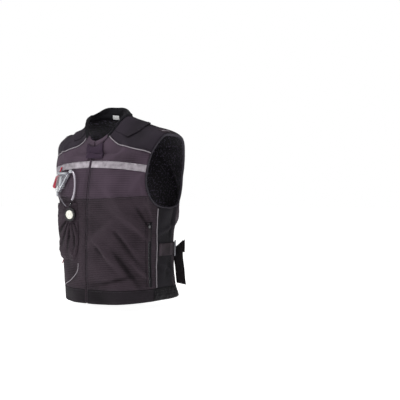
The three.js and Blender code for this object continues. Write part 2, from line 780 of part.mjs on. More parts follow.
// The hose's route: millimetres along and up from the fitting, and out from the cloth
const hoseRoute = [
  { along: fittingLength / 2 + 2.8, up: -0.3, out: 4 },
  { along: 15.2, up: -6, out: 4.6 },
  { along: 22.7, up: -19.6, out: 5.4 },
  { along: 25.4, up: -38.7, out: 5 },
  { along: 23.5, up: -58.9, out: 4.6 },
  { along: 17.7, up: -78.3, out: 4.6 },
  { along: 9.2, up: -93.2, out: 5 },
];

// Pocket for the inflator's tube: a pad standing proud, open-topped in cloth, round at its foot
const pocketRound = 4;
function addPocket() {
  const map = (u, w) => {
    const foot = 1 - (1 - Math.min(1, w * 2.4)) ** pocketRound;
    const narrow = mix(0.62, 1, foot);
    return travel(pocketCentre, (u - 0.5) * pocketWidth * narrow, (w - 0.5) * pocketHeight);
  };
  const low = pieceGap + 0.4;
  const proud = (u, w) => {
    const across = 1 - Math.abs(2 * u - 1) ** 6;
    const up = (1 - (1 - Math.min(1, w * 5)) ** 3) * (1 - 0.55 * Math.max(0, w - 0.55) / 0.45);
    return low + 2 + (pocketDepth - 2) * across * up;
  };
  add('inflator_pocket', wall(map, proud, low, 8, 8, 0), meshColour);
}

// Inflator: clear body with a red gas cartridge beside it, a fitting and a hose
function addInflator() {
  const half = inflatorWidth / 2;
  const tall = inflatorHeight / 2;
  const foot = inflatorFoot - half;
  const outline = new THREE.Shape([
    new THREE.Vector2(-half, -tall * 0.8), new THREE.Vector2(-half * 0.86, -tall),
    new THREE.Vector2(foot * 0.9, -tall), new THREE.Vector2(foot, -tall * 0.9),
    new THREE.Vector2(half, tall * 0.6), new THREE.Vector2(half, tall * 0.88),
    new THREE.Vector2(half * 0.86, tall), new THREE.Vector2(-half * 0.8, tall),
    new THREE.Vector2(-half, tall * 0.8),
  ]);
  const body = new THREE.ExtrudeGeometry(outline, {
    depth: inflatorDepth - 2 * inflatorEdge,
    bevelThickness: inflatorEdge,
    bevelSize: inflatorEdge,
    bevelOffset: -inflatorEdge,
    bevelSegments: 2,
    steps: 1,
  });
  seat(add('inflator_body', body, 0xc8ccd0, 0.15), inflatorSeat, inflatorEdge + pieceGap);
  const cartridge = new THREE.CapsuleGeometry(cartridgeRadius, cartridgeLength - 2 * cartridgeRadius, 3, 10);
  seat(add('gas_cartridge', cartridge, 0xa01830, 0.35), cartridgeSeat, cartridgeRadius - 0.1, cartridgeTurn);
  const fitting = new THREE.CylinderGeometry(fittingRadius, fittingRadius * 0.8, fittingLength, 14);
  fitting.rotateZ(Math.PI / 2);
  seat(add('hose_fitting', fitting, 0xd8d8da, 0.3), fittingSeat, pieceGap + inflatorDepth / 2, fittingTurn);
  const route = hoseRoute.map(({ along, up, out }) => (
    surface(fromInflator(fittingPlace[0] + along, fittingPlace[1] + up), out + hoseRadius)));
  add('inflator_hose', cord(route, hoseRadius, 18, 8), 0xe6e6e8, 0.35);
}

// Release disc in its black bezel, and the lanyards between disc, hose and inflator
const bezelOut = pocketDepth;
function addDisc() {
  const inner = discRadius + pieceGap;
  const bezel = new THREE.LatheGeometry([
    new THREE.Vector2(inner, 0),
    new THREE.Vector2(bezelRadius, 0),
    new THREE.Vector2(bezelRadius, bezelThickness * 0.6),
    new THREE.Vector2(bezelRadius - 1.5, bezelThickness),
    new THREE.Vector2(inner, bezelThickness),
    new THREE.Vector2(inner, 0),
  ], 20);
  bezel.rotateX(Math.PI / 2);
  seat(add('disc_bezel', bezel, darkColour, 0.4), discSeat, bezelOut);
  const disc = new THREE.CylinderGeometry(discRadius, discRadius, discThickness, 28);
  disc.rotateX(Math.PI / 2);
  seat(add('release_disc', disc, 0xf2f2ee, 0.35), discSeat, bezelOut + discThickness / 2);
}

// Lanyards from the disc to the hose and to the inflator, and two small pull tags
function addLanyards() {
  const hoseEnd = hoseRoute[hoseRoute.length - 1];
  const top = [fittingPlace[0] + hoseEnd.along - 1.3, fittingPlace[1] + hoseEnd.up - hoseRadius - 0.4];
  const foot = [discPlace[0] + 1.4, discPlace[1] + bezelRadius + lanyardRadius];
  const front = [0, 0.5, 1].map((share) => (
    surface(fromInflator(mix(top[0], foot[0], share), mix(top[1], foot[1], share)), mix(8, 17, share))));
  add('lanyard_front', cord(front, lanyardRadius, 3, 6), darkColour);
  const start = [-inflatorWidth / 2 - 12.9, -inflatorHeight / 2 + 0.4];
  const end = [discPlace[0] - bezelRadius + 0.9, discPlace[1] + bezelRadius + 5.7];
  const sag = 2.6;
  const side = [0, 0.25, 0.65, 1].map((share) => {
    const up = mix(start[1], end[1], share) - sag * Math.sin(Math.PI * share);
    return surface(fromInflator(mix(start[0], end[0], share), up), mix(5.6, 12.6, share));
  });
  add('lanyard_side', cord(side, lanyardRadius, 8, 6), darkColour);
  const low = pieceGap + 0.4;
  const upper = rectangle(fromInflator(-21, inflatorHeight / 2 + tagHeight / 2 + 2), tagWidth, tagHeight);
  add('pull_tag_upper', wall(upper, low + 1.8 + patchWall, low + 1.8, 1, 2, 0), 0x9a1c2c);
  const lower = rectangle([-60, 0.205], tagWidth, tagHeight);
  add('pull_tag_lower', wall(lower, low + patchWall, low, 1, 2, 0), 0x9a1c2c);
}

// Side adjuster: a strap from the side seam and a short anchor from the back meet under a
// three-bar buckle, and the strap's free tail hangs from it
const strapStart = [87, 0.284];
const tailWidth = 38;
const tailDrops = [-0.06, 0.1, 0.3, 0.5, 0.75, 1];
const upwards = new THREE.Vector3(0, 0, 1);
function ribbon(centres, across, width, thickness) {
  const rings = centres.map((centre) => {
    const wide = across.clone().multiplyScalar(width / 2);
    const thick = upwards.clone().cross(across).normalize().multiplyScalar(thickness / 2);
    return [[-1, -1], [1, -1], [1, 1], [-1, 1]].map(([a, b]) => (
      centre.clone().addScaledVector(wide, a).addScaledVector(thick, b)));
  });
  const last = rings.length - 1;
  const end = 4 * last;
  const faces = [[0, 1, 2], [0, 2, 3], [end, end + 2, end + 1], [end, end + 3, end + 2]];
  for (let k = 0; k < last; k += 1) {
    for (let i = 0; i < 4; i += 1) {
      const j = (i + 1) % 4;
      faces.push([4 * k + i, 4 * k + 4 + i, 4 * k + 4 + j], [4 * k + i, 4 * k + 4 + j, 4 * k + j]);
    }
  }
  return solid(rings.flat(), faces);
}
function addStraps({ name, side, place }) {
  const low = pieceGap + 0.3;
  const strap = rectangle(travel(strapStart, strapLength / 2, 0), strapLength, strapHeight);
  add(`side_strap_${name}`, wall(place(strap), low + strapWall, low, 7, 2, 0), darkColour);
  const anchorAt = travel(strapStart, strapLength + pieceGap * 2 + anchorLength / 2, 0);
  const anchor = rectangle(anchorAt, anchorLength, strapHeight);
  add(`strap_anchor_${name}`, wall(place(anchor), low + strapWall, low, 3, 2, 0), darkColour);
  const opening = (buckleWidth - 3 * buckleBar) / 2;
  const corners = [[-1, -1], [1, -1], [1, 1], [-1, 1]];
  const shape = new THREE.Shape(corners.map(([a, b]) => (
    new THREE.Vector2((a * buckleWidth) / 2, (b * buckleHeight) / 2))));
  for (const turn of [-1, 1]) {
    const middle = turn * (buckleBar + opening) / 2;
    const tall = buckleHeight / 2 - buckleBar - (turn > 0 ? slotStep : 0);
    shape.holes.push(new THREE.Path(corners.toReversed().map(([a, b]) => (
      new THREE.Vector2(middle + (a * opening) / 2, b * tall)))));
  }
  const buckle = new THREE.ExtrudeGeometry(shape, { depth: buckleThickness, bevelEnabled: false });
  const [degrees, level] = travel(strapStart, strapLength + pieceGap, 0);
  const buckleOut = low + strapWall + pieceGap + 0.4;
  const mesh = seat(add(`side_buckle_${name}`, buckle, darkColour, 0.35), [side * degrees, level], buckleOut);
  const normal = new THREE.Vector3(0, 0, 1).applyQuaternion(mesh.quaternion).setZ(0).normalize();
  const back = new THREE.Vector3(side, 0, 0).applyQuaternion(mesh.quaternion).setZ(0).normalize();
  const turn = radians(tailTurn);
  const clear = (pieceGap + strapWall / 2) / Math.sin(turn);
  const behind = buckleWidth / 2 + clear - (tailOut - buckleThickness) / Math.tan(turn);
  const top = mesh.position.clone().addScaledVector(back, behind).addScaledVector(normal, tailOut);
  const across = back.clone().applyAxisAngle(upwards, side * turn);
  const centres = tailDrops.map((share) => top.clone()
    .addScaledVector(normal, tailLean * share ** 2)
    .addScaledVector(upwards, -share * tailLength));
  const tail = ribbon(centres, across, tailWidth, strapWall);
  add(`strap_tail_${name}`, tail, darkColour);
}

for (const side of sides) {
  addPanels(side);
  addHem(side);
  addShoulder(side);
  addStripe(side);
  addPiping(side);
  addStraps(side);
}
addBack();
addHemBack();
addCollar();
addZip();
addHipPocket();
addHipPiping();
addPocket();
addInflator();
addDisc();
addLanyards();
await addLining();

export default vest;
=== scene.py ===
# %% [markdown]
# Motorcycle airbag vest in its worn form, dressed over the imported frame.
# Every cloth piece is a grid laid over one smooth form of the body, so that neighbours meet at
# their seams, and every hard piece is seated on that same form. Lengths are metres, +Z is up,
# the front faces -Y and the wearer's left is +X.

# %% Load the frame
import json
import math
import bpy
import numpy as np
from mathutils import Matrix, Vector, noise

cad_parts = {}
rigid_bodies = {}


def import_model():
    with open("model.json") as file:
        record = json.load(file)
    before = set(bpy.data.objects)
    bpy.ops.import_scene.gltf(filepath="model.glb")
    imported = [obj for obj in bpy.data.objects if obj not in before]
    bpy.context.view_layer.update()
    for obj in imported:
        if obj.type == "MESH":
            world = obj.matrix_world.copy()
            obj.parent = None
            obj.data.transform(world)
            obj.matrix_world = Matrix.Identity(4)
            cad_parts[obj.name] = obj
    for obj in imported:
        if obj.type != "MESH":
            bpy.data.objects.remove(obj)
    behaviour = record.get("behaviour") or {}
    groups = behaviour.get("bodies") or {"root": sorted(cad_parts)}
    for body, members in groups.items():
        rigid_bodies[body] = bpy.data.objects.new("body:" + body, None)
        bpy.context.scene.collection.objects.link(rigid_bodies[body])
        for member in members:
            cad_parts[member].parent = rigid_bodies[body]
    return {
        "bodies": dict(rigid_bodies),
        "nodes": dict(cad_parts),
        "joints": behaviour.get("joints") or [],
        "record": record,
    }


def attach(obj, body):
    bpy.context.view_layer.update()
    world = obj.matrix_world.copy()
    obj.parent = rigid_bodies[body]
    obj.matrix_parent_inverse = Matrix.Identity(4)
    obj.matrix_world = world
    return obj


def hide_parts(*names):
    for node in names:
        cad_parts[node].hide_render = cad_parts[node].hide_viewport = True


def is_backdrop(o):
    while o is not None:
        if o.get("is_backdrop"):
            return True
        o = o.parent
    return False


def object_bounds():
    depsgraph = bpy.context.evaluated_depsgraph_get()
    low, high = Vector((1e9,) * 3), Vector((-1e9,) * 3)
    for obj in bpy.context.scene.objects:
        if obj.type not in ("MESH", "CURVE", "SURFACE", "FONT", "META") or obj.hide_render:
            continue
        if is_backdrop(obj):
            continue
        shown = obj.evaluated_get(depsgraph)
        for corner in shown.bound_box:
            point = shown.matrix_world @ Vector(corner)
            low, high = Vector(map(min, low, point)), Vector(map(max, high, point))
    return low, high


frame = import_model()
cad_low, cad_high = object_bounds()
bpy.ops.object.select_all(action="DESELECT")
print("frame", [round(value, 3) for value in (*cad_low, *cad_high)])

# %% [markdown]
# The body is described by a few level sections, each a share of the sizes that a pattern cutter
# would measure. A smooth curve through every column gives the form between the sections, so one
# function knows where any point of the vest lies: degrees round the body, counted from the zip
# towards the wearer's left, and a level from the hem, 0, to the neck seam, 1. The vest hangs a little
# unevenly: at the wearer's right the collar leans outward and the yoke beside it sags.

# %% Sizes and sections
BODY_LENGTH = 0.602
CHEST_WIDTH = 0.462
CHEST_DEPTH = 0.294
NECK_WIDTH = 0.172
NECK_DEPTH = 0.130
NECK_DROP = 0.098
COLLAR_HEIGHT = 0.039
FOLD_HEIGHT = 0.007
COLLAR_TOP = 1.08
COLLAR_FALL = 0.7
COLLAR_LEAN, COLLAR_PERK, COLLAR_ARCH = 0.011, 0.003, 0.010
LEAN_FROM, LEAN_REACH = 0.97, 0.06
YOKE_SAG, SAG_LEVEL, SAG_REACH = 0.014, 0.95, 0.06

TORSO = (
    # level, drop, front fall, back rise, half, front, back, middle, square, square at the back
    (0.00, 1.000, 0.08, 0.04, 0.381, 0.517, 0.578, 0.150, 2.50, 3.2),
    (0.14, 0.872, 0.00, 0.00, 0.390, 0.510, 0.466, 0.143, 2.50, 3.2),
    (0.30, 0.714, -0.02, 0.00, 0.403, 0.507, 0.412, 0.136, 2.50, 3.2),
    (0.42, 0.598, -0.02, 0.00, 0.420, 0.510, 0.412, 0.143, 2.50, 3.2),
    (0.52, 0.498, -0.02, 0.04, 0.446, 0.517, 0.439, 0.150, 2.50, 3.2),
    (0.64, 0.357, 0.00, 0.08, 0.481, 0.483, 0.435, 0.150, 2.65, 3.2),
    (0.74, 0.233, 0.10, 0.12, 0.500, 0.415, 0.429, 0.143, 2.60, 3.2),
    (0.82, 0.132, 0.63, 0.14, 0.496, 0.374, 0.381, 0.136, 2.40, 3.0),
    (0.91, 0.075, 0.86, 0.10, 0.333, 0.333, 0.313, 0.095, 2.15, 2.4),
)
NECK = (
    # level, seat, front fall, back rise, half, front, back, square
    (1.00, -0.41, 1.00, 0.00, 0.500, 0.508, 0.470, 2.05),
    (1.04, -0.26, 0.98, 0.24, 0.464, 0.508, 0.425, 2.00),
    (COLLAR_TOP, -0.05, 0.93, 0.64, 0.410, 0.510, 0.390, 2.00),
)


def section_columns():
    torso = np.array(TORSO).T
    neck = np.array(NECK).T
    join = np.concatenate
    return {
        "level": join([torso[0], neck[0]]),
        "side": join([-torso[1] * BODY_LENGTH, neck[1] * COLLAR_HEIGHT]),
        "front_rise": join([-torso[2] * NECK_DROP, -neck[2] * NECK_DROP]),
        "back_rise": join([torso[3] * NECK_DROP, neck[3] * COLLAR_HEIGHT]),
        "half": join([torso[4] * CHEST_WIDTH, neck[4] * NECK_WIDTH]),
        "front": join([torso[5] * CHEST_DEPTH, neck[5] * NECK_DEPTH]),
        "back": join([torso[6] * CHEST_DEPTH, neck[6] * NECK_DEPTH]),
        "middle": join([torso[7] * CHEST_DEPTH, neck[1] * 0]),
        "square": join([torso[8], neck[7]]),
        "square_back": join([torso[9], neck[7]]),
    }


SECTIONS = section_columns()
LEVELS = SECTIONS["level"]


def size_at(column, level):
    """One column's value at any level, on a smooth curve through the sections."""
    values = SECTIONS[column]
    rates = np.diff(values) / np.diff(LEVELS)
    slopes = np.concatenate([rates[:1], (rates[:-1] + rates[1:]) / 2, rates[-1:]])
    i = np.clip(np.searchsorted(LEVELS, level) - 1, 0, len(LEVELS) - 2)
    span = LEVELS[i + 1] - LEVELS[i]
    t = (level - LEVELS[i]) / span
    rise = t * t * (3 - 2 * t)
    bend = t * (1 - t) ** 2 * slopes[i] - t * t * (1 - t) * slopes[i + 1]
    return values[i] * (1 - rise) + values[i + 1] * rise + span * bend


def power(value, exponent):
    return np.sign(value) * np.abs(value) ** exponent


def form(degrees, level):
    """A point of the smooth body, without folds."""
    degrees, level = np.broadcast_arrays(np.asarray(degrees, float), np.asarray(level, float))
    sine = np.sin(np.radians(degrees))
    cosine = np.cos(np.radians(degrees))
    ahead = cosine > 0
    bend = 2 / np.where(ahead, size_at("square", level), size_at("square_back", level))
    depth = np.where(ahead, -size_at("front", level), size_at("back", level))
    rise = np.where(ahead, size_at("front_rise", level), size_at("back_rise", level))
    x = size_at("half", level) * power(sine, bend)
    y = size_at("middle", level) + depth * np.abs(cosine) ** bend
    fall_bend = 2 - COLLAR_FALL * np.clip((level - 1) / (COLLAR_TOP - 1), 0, 1) * ahead
    z = size_at("side", level) + rise * np.abs(cosine) ** fall_bend
    right = np.clip(-sine, 0, 1) ** 2
    high = np.clip((level - LEAN_FROM) / LEAN_REACH, 0, 1)
    arch = 2 * np.clip(-sine, 0, 1) * np.clip(-cosine, 0, 1)
    x = x - COLLAR_LEAN * right * high
    z = z + (COLLAR_PERK * right + COLLAR_ARCH * arch ** 2) * high
    z = z - YOKE_SAG * right * np.exp(-(((level - SAG_LEVEL) / SAG_REACH) ** 2))
    return np.stack([x, y, z], axis=-1)


def directions(degrees, level):
    """Along and up the form, in metres a degree and a level, and straight out of it."""
    step, lift = 0.6, 0.003
    along = (form(degrees + step, level) - form(degrees - step, level)) / (2 * step)
    up = (form(degrees, level + lift) - form(degrees, level - lift)) / (2 * lift)
    normal = np.cross(along, up)
    return along, up, normal / np.linalg.norm(normal, axis=-1, keepdims=True)


def length(vectors):
    return np.linalg.norm(vectors, axis=-1)


def travel(degrees, level, along, up, steps=6):
    """The place that lies so many metres along and up from a start."""
    given = (np.asarray(value, float) for value in (degrees, level, along, up))
    degrees, level, along, up = np.broadcast_arrays(*given)
    for _ in range(steps):
        level = level + up / steps / length(directions(degrees, level)[1])
    for _ in range(steps):
        degrees = degrees + along / steps / length(directions(degrees, level)[0])
    return degrees, level


print("chest point", form(0, 0.72).round(3), "side point", form(90, 0.5).round(3))

# %% [markdown]
# Cloth is never as smooth as the body under it. The broad folds repeat the frame's own. On top come
# soft billows, creases that start where the vest is pulled, at the armholes and the side straps, and
# a faint restlessness from noise. Where a hard piece is seated the extra relief dies away, so that
# nothing sinks into the cloth.

# %% Folds and creases
FOLDS = (
    # degrees, level, reach along, reach across, slant, share of the fold height
    (44, 0.515, 24, 0.034, 0.0016, 0.62), (28, 0.400, 26, 0.036, -0.0034, 0.40),
    (12, 0.170, 22, 0.060, -0.0030, 0.55), (-38, 0.150, 20, 0.050, 0.0030, 0.40),
    (160, 0.520, 26, 0.040, 0.0018, 0.55), (205, 0.440, 26, 0.040, -0.0020, 0.50),
    (176, 0.300, 34, 0.040, 0.0008, 0.45),
)
CREASES = (
    # degrees, level, reach along, reach across, slant, height in crease units
    (36, 0.500, 16, 0.014, -0.0040, 2.4), (58, 0.475, 12, 0.012, -0.0052, -2.0),
    (40, 0.455, 18, 0.024, -0.0034, 2.8), (62, 0.540, 9, 0.013, -0.0070, 2.0),
    (16, 0.370, 16, 0.030, 0.0042, 2.6), (38, 0.335, 15, 0.017, -0.0050, -2.2),
    (50, 0.290, 12, 0.018, -0.0046, 1.6), (22, 0.255, 15, 0.024, -0.0044, 2.8),
    (44, 0.190, 15, 0.020, -0.0050, -2.4), (10, 0.290, 8, 0.016, -0.0060, -1.8),
    (60, 0.190, 14, 0.012, -0.0040, 2.0), (58, 0.395, 12, 0.012, -0.0046, 1.8),
    (30, 0.125, 22, 0.012, 0.0010, -1.6), (66, 0.610, 6, 0.030, 0.0110, 1.4),
    (48, 0.625, 8, 0.024, 0.0060, 1.0), (-60, 0.560, 10, 0.018, 0.0050, 1.4),
    (-66, 0.300, 14, 0.014, 0.0040, 1.8), (-58, 0.235, 16, 0.014, 0.0030, -1.6),
    (-12, 0.240, 8, 0.030, 0.0060, 1.2), (28, 0.830, 12, 0.020, 0.0060, 1.2),
    (-40, 0.800, 10, 0.018, -0.0060, 1.2), (150, 0.640, 18, 0.016, 0.0050, 2.0),
    (210, 0.650, 18, 0.016, -0.0050, 2.0), (135, 0.420, 16, 0.016, -0.0040, 2.2),
    (222, 0.360, 18, 0.014, 0.0040, 2.2), (170, 0.220, 24, 0.014, 0.0016, -2.0),
    (190, 0.160, 22, 0.018, -0.0020, 2.0), (150, 0.300, 20, 0.012, 0.0030, 1.6),
    (96, 0.400, 10, 0.012, 0.0030, 1.6), (98, 0.180, 10, 0.014, -0.0040, 1.6),
    (264, 0.400, 10, 0.012, -0.0030, 1.6), (262, 0.180, 10, 0.014, 0.0040, 1.6),
    (-62, 0.700, 20, 0.090, 0.0000, 2.2), (103, 0.440, 2.6, 0.080, 0.0000, 1.5),
    (99, 0.430, 2.0, 0.090, 0.0000, -1.2), (106, 0.180, 2.6, 0.060, 0.0000, 1.5),
    (92, 0.170, 2.4, 0.050, 0.0100, 1.4), (91, 0.480, 3.0, 0.050, 0.0100, 1.2),
)
CALM = (
    # degrees, level and reach of each hard piece's seat
    (-28, 0.640, 26, 0.060), (-12, 0.560, 9, 0.120), (-12.5, 0.470, 9, 0.045), (100, 0.285, 16, 0.040),
    (-100, 0.285, 16, 0.040), (0, 0.860, 14, 0.060),
)
CREASE_UNIT = 0.0036
NOISE_LAYERS = (
    # scale of the noise, height in metres
    (11.0, 0.0042), (27.0, 0.0016),
)


def hump(degrees, level, row):
    at, middle, reach, across, slant = row[:5]
    turn = (degrees - at + 540) % 360 - 180
    lift = level - middle - turn * slant
    return np.exp(-((turn / reach) ** 2)) * np.exp(-((lift / across) ** 2))


def folds(degrees, level):
    return sum(row[5] * FOLD_HEIGHT * hump(degrees, level, row) for row in FOLDS)


def restless(points):
    """Seeded noise over points in space, in metres of relief."""
    flat = points.reshape(-1, 3)
    relief = np.zeros(len(flat))
    for scale, height in NOISE_LAYERS:
        relief += height * np.array([noise.noise(Vector(point) * scale) for point in flat])
    return relief.reshape(points.shape[:-1])


def relief(degrees, level):
    """Height of the cloth above the smooth body."""
    extra = sum(row[5] * CREASE_UNIT * hump(degrees, level, row) for row in CREASES)
    extra = extra + restless(form(degrees, level))
    calm = 1.0
    for at, middle, reach, across in CALM:
        calm = calm * (1 - hump(degrees, level, (at, middle, reach, across, 0)))
    return folds(degrees, level) + extra * calm


def place(degrees, level, out=0.0, rumple=True):
    """A point so far outside the cloth's outer face."""
    height = relief(degrees, level) if rumple else folds(degrees, level)
    normal = directions(degrees, level)[2]
    return form(degrees, level) + normal * (height + out)[..., None]


print("highest fold", round(float(folds(44.0, 0.515)) * 1000, 1), "mm")

# %% [markdown]
# Seams are lines over the form: straight ones, smooth curves through a few places, and the armhole,
# which is a rounded square round the shoulder tip. A panel is the patch between four such lines.

# %% Seam lines and patches
ZIP_WIDTH = 0.006
BINDING_WIDTH = 0.005
HEM_HEIGHT = 0.044
ARMHOLE_HEIGHT = 0.226
ARMHOLE_SPREAD = 33
ARMHOLE_MIDDLE = 91
ARMHOLE_TOP = 0.822
RIDGE = 92
DEGREES_A_METRE = 1000 / 2.6
LEVELS_A_METRE = 1000 / 740
PANEL_GROW = BINDING_WIDTH + 0.0011
SIDE_SEAM = ((85.5, 0), (85, 0.14), (84.5, 0.31), (82, 0.42), (79.5, 0.53))
BACK_SEAM = 108
CHEST_FRONT = 0.547
CHEST_SIDE = 0.566
YOKE_SEAM = ((38.5, 0.795), (32, 0.88), (36, 1))
YOKE_SIDE = 0.748
BACK_YOKE = 0.765


def level_at_height(height):
    low, high = 0.0, ARMHOLE_TOP
    for _ in range(30):
        middle = (low + high) / 2
        if form(RIDGE, middle)[2] < height:
            low = middle
        else:
            high = middle
    return low


ARMHOLE_FOOT = level_at_height(form(RIDGE, ARMHOLE_TOP)[2] - ARMHOLE_HEIGHT)
ARMHOLE_LEVEL = (ARMHOLE_TOP + ARMHOLE_FOOT) / 2
ARMHOLE_RISE = (ARMHOLE_TOP - ARMHOLE_FOOT) / 2


def armhole(angle, grow=PANEL_GROW):
    """A place on the armhole's edge: angle 0 is rearmost and 90 the top."""
    sine, cosine = np.sin(np.radians(angle)), np.cos(np.radians(angle))
    bend = 2 / np.where(sine > 0, 2.6, 2.0)
    spread = ARMHOLE_SPREAD + grow * DEGREES_A_METRE
    rise = ARMHOLE_RISE + grow * LEVELS_A_METRE
    return ARMHOLE_MIDDLE + spread * power(cosine, bend), ARMHOLE_LEVEL + rise * power(sine, bend)


def angle_at_level(level, rear):
    share = (level - ARMHOLE_LEVEL) / (ARMHOLE_RISE + PANEL_GROW * LEVELS_A_METRE)
    angle = math.degrees(math.asin(power(share, (2.6 if share > 0 else 2.0) / 2)))
    return angle if rear else 180 - angle


def angle_below(degrees):
    share = (degrees - ARMHOLE_MIDDLE) / (ARMHOLE_SPREAD + PANEL_GROW * DEGREES_A_METRE)
    return -math.degrees(math.acos(power(share, 1.0)))


def mix(a, b, share):
    return a + (b - a) * share


def line(start, end):
    return lambda share: (mix(start[0], end[0], share), mix(start[1], end[1], share))


def curve(points):
    """A smooth line through places, even between its points."""
    spots = np.array(points, float)
    last = len(spots) - 1

    def at(share):
        along = np.clip(np.asarray(share, float), 0, 1) * last
        i = np.clip(np.floor(along).astype(int), 0, last - 1)
        t = (along - i)[..., None]
        before, start, end, after = (spots[np.clip(i + k, 0, last)] for k in (-1, 0, 1, 2))
        leave, arrive = (end - before) / 2, (after - start) / 2
        point = ((2 * start - 2 * end + leave + arrive) * t ** 3
                 + (-3 * start + 3 * end - 2 * leave - arrive) * t ** 2 + leave * t + start)
        return point[..., 0], point[..., 1]

    return at


def chain(first, share, second):
    def at(t):
        early = first(np.clip(t / share, 0, 1))
        late = second(np.clip((t - share) / (1 - share), 0, 1))
        return tuple(np.where(t < share, a, b) for a, b in zip(early, late))

    return at


def along_armhole(start, end):
    return lambda share: armhole(mix(start, end, share))


def beside_middle(reach, level):
    """Degrees of a point so many metres beside the middle of the front."""
    return np.degrees(np.arcsin((reach / size_at("half", level)) ** (size_at("square", level) / 2)))


def beside_zip(start, end):
    """A line up the front that keeps half the zip's width from the middle."""

    def at(share):
        level = mix(start, end, np.asarray(share, float))
        return beside_middle(ZIP_WIDTH / 2, level), level

    return at


def patch(bottom, top, left, right):
    """A spot of a four-sided panel for shares across and up it."""
    corners = [edge(share) for edge in (bottom, top) for share in (0.0, 1.0)]

    def at(u, w):
        edges = [bottom(u), top(u), left(w), right(w)]
        return tuple(
            (1 - w) * edges[0][k] + w * edges[1][k] + (1 - u) * edges[2][k] + u * edges[3][k]
            - (1 - w) * ((1 - u) * corners[0][k] + u * corners[1][k])
            - w * ((1 - u) * corners[2][k] + u * corners[3][k])
            for k in (0, 1)
        )

    return at


def mirrored(spot):
    def at(u, w):
        degrees, level = spot(1 - u, w)
        return -degrees, level

    return at


def unchanged(spot):
    return spot


def rectangle(centre, width, height):
    return lambda u, w: travel(*centre, (u - 0.5) * width, (w - 0.5) * height)


SIDES = (("left", 1, unchanged), ("right", -1, mirrored))
HEM_LEVEL = float(travel(0, 0.002, 0, HEM_HEIGHT)[1])
chest_end = angle_at_level(CHEST_SIDE, False)
yoke_end = angle_at_level(YOKE_SIDE, False)
rear_end = angle_at_level(BACK_YOKE, True)
side_angle = angle_below(SIDE_SEAM[-1][0]) + 360
back_angle = angle_below(BACK_SEAM)
seam_degrees = curve(SIDE_SEAM)


def side_edge(share):
    return seam_degrees(share)[0], mix(HEM_LEVEL, armhole(side_angle)[1], share)


front_foot = beside_zip(HEM_LEVEL, 1)(0.0)
front_chest = beside_zip(CHEST_FRONT, 1)(0.0)
front_neck = beside_zip(0, 1)(1.0)
chest_seam = line(front_chest, armhole(chest_end))
yoke_seam = curve([armhole(yoke_end), *YOKE_SEAM])
ridge_line = line(armhole(90), (RIDGE, 1))
rear_foot = line((BACK_SEAM, HEM_LEVEL), armhole(back_angle))
print("armhole from level", round(ARMHOLE_FOOT, 3), "to", ARMHOLE_TOP)

# %% [markdown]
# A material is written as plain maths on sockets. A small class wraps one socket, and each operator
# adds the Math node that it stands for, so a weave reads like its formula. Any other node comes
# through one method, which takes its type, its settings and its sockets.

# %% Shader maths


class Value:
    """One number over the surface. Operators add Math nodes."""

    def __init__(self, finish, socket):
        self.finish = finish
        self.socket = socket

    def maths(self, operation, *others):
        node = self.finish.node("ShaderNodeMath", {"operation": operation}, dict(enumerate([self, *others])))
        return Value(self.finish, node.outputs[0])

    def __add__(self, other):
        return self.maths("ADD", other)

    def __sub__(self, other):
        return self.maths("SUBTRACT", other)

    def __mul__(self, other):
        return self.maths("MULTIPLY", other)

    def __rsub__(self, other):
        return (self * -1) + other

    __radd__ = __add__
    __rmul__ = __mul__

    def wave(self, pitch):
        """A smooth ripple from 0 to 1 with so many metres between its crests."""
        return (self * (2 * math.pi / pitch)).maths("SINE") * 0.5 + 0.5

    def above(self, edge):
        return self.maths("GREATER_THAN", edge)

    def kept(self):
        return self.maths("MAXIMUM", 0.0).maths("MINIMUM", 1.0)


class Finish:
    """A material built round one Principled shader."""

    def __init__(self, name, **constants):
        self.material = bpy.data.materials.new(name)
        self.material.use_nodes = True
        self.tree = self.material.node_tree
        self.shader = self.tree.nodes["Principled BSDF"]
        for socket, value in constants.items():
            self.shader.inputs[socket.replace("_", " ")].default_value = value

    def node(self, kind, settings=(), sockets=()):
        node = self.tree.nodes.new(kind)
        for name, value in dict(settings).items():
            setattr(node, name, value)
        for key, value in dict(sockets).items():
            if isinstance(value, Value):
                self.tree.links.new(value.socket, node.inputs[key])
            elif isinstance(value, bpy.types.NodeSocket):
                self.tree.links.new(value, node.inputs[key])
            else:
                node.inputs[key].default_value = value
        return node

    def feed(self, name, value):
        self.tree.links.new(value.socket if isinstance(value, Value) else value, self.shader.inputs[name])

    def cloth_places(self):
        """The cloth's own coordinates, in metres round the body and up it."""
        uv = self.node("ShaderNodeUVMap", {"uv_map": "cloth"})
        parts = self.node("ShaderNodeSeparateXYZ", (), {0: uv.outputs[0]})
        return Value(self, parts.outputs[0]), Value(self, parts.outputs[1]), uv.outputs[0]

    def object_places(self):
        return self.node("ShaderNodeTexCoord").outputs["Object"]

    def crest(self):
        attribute = self.node("ShaderNodeAttribute", {"attribute_name": "crest"})
        return Value(self, attribute.outputs["Fac"])

    def noise(self, places, scale, detail=3.0, stretch=None):
        if stretch is not None:
            mapping = self.node("ShaderNodeMapping", (), {0: places, "Scale": stretch})
            places = mapping.outputs[0]
        node = self.node("ShaderNodeTexNoise", (), {"Vector": places, "Scale": scale, "Detail": detail})
        return Value(self, node.outputs["Fac"])

    def blend(self, share, first, second):
        node = self.node("ShaderNodeMix", {"data_type": "RGBA"}, {0: share})
        for index, colour in ((6, first), (7, second)):
            if isinstance(colour, bpy.types.NodeSocket):
                self.tree.links.new(colour, node.inputs[index])
            else:
                node.inputs[index].default_value = (*colour, 1)
        return node.outputs[2]

    def bump(self, height, distance, strength=1.0):
        node = self.node("ShaderNodeBump", (), {"Height": height, "Distance": distance, "Strength": strength})
        self.feed("Normal", node.outputs[0])


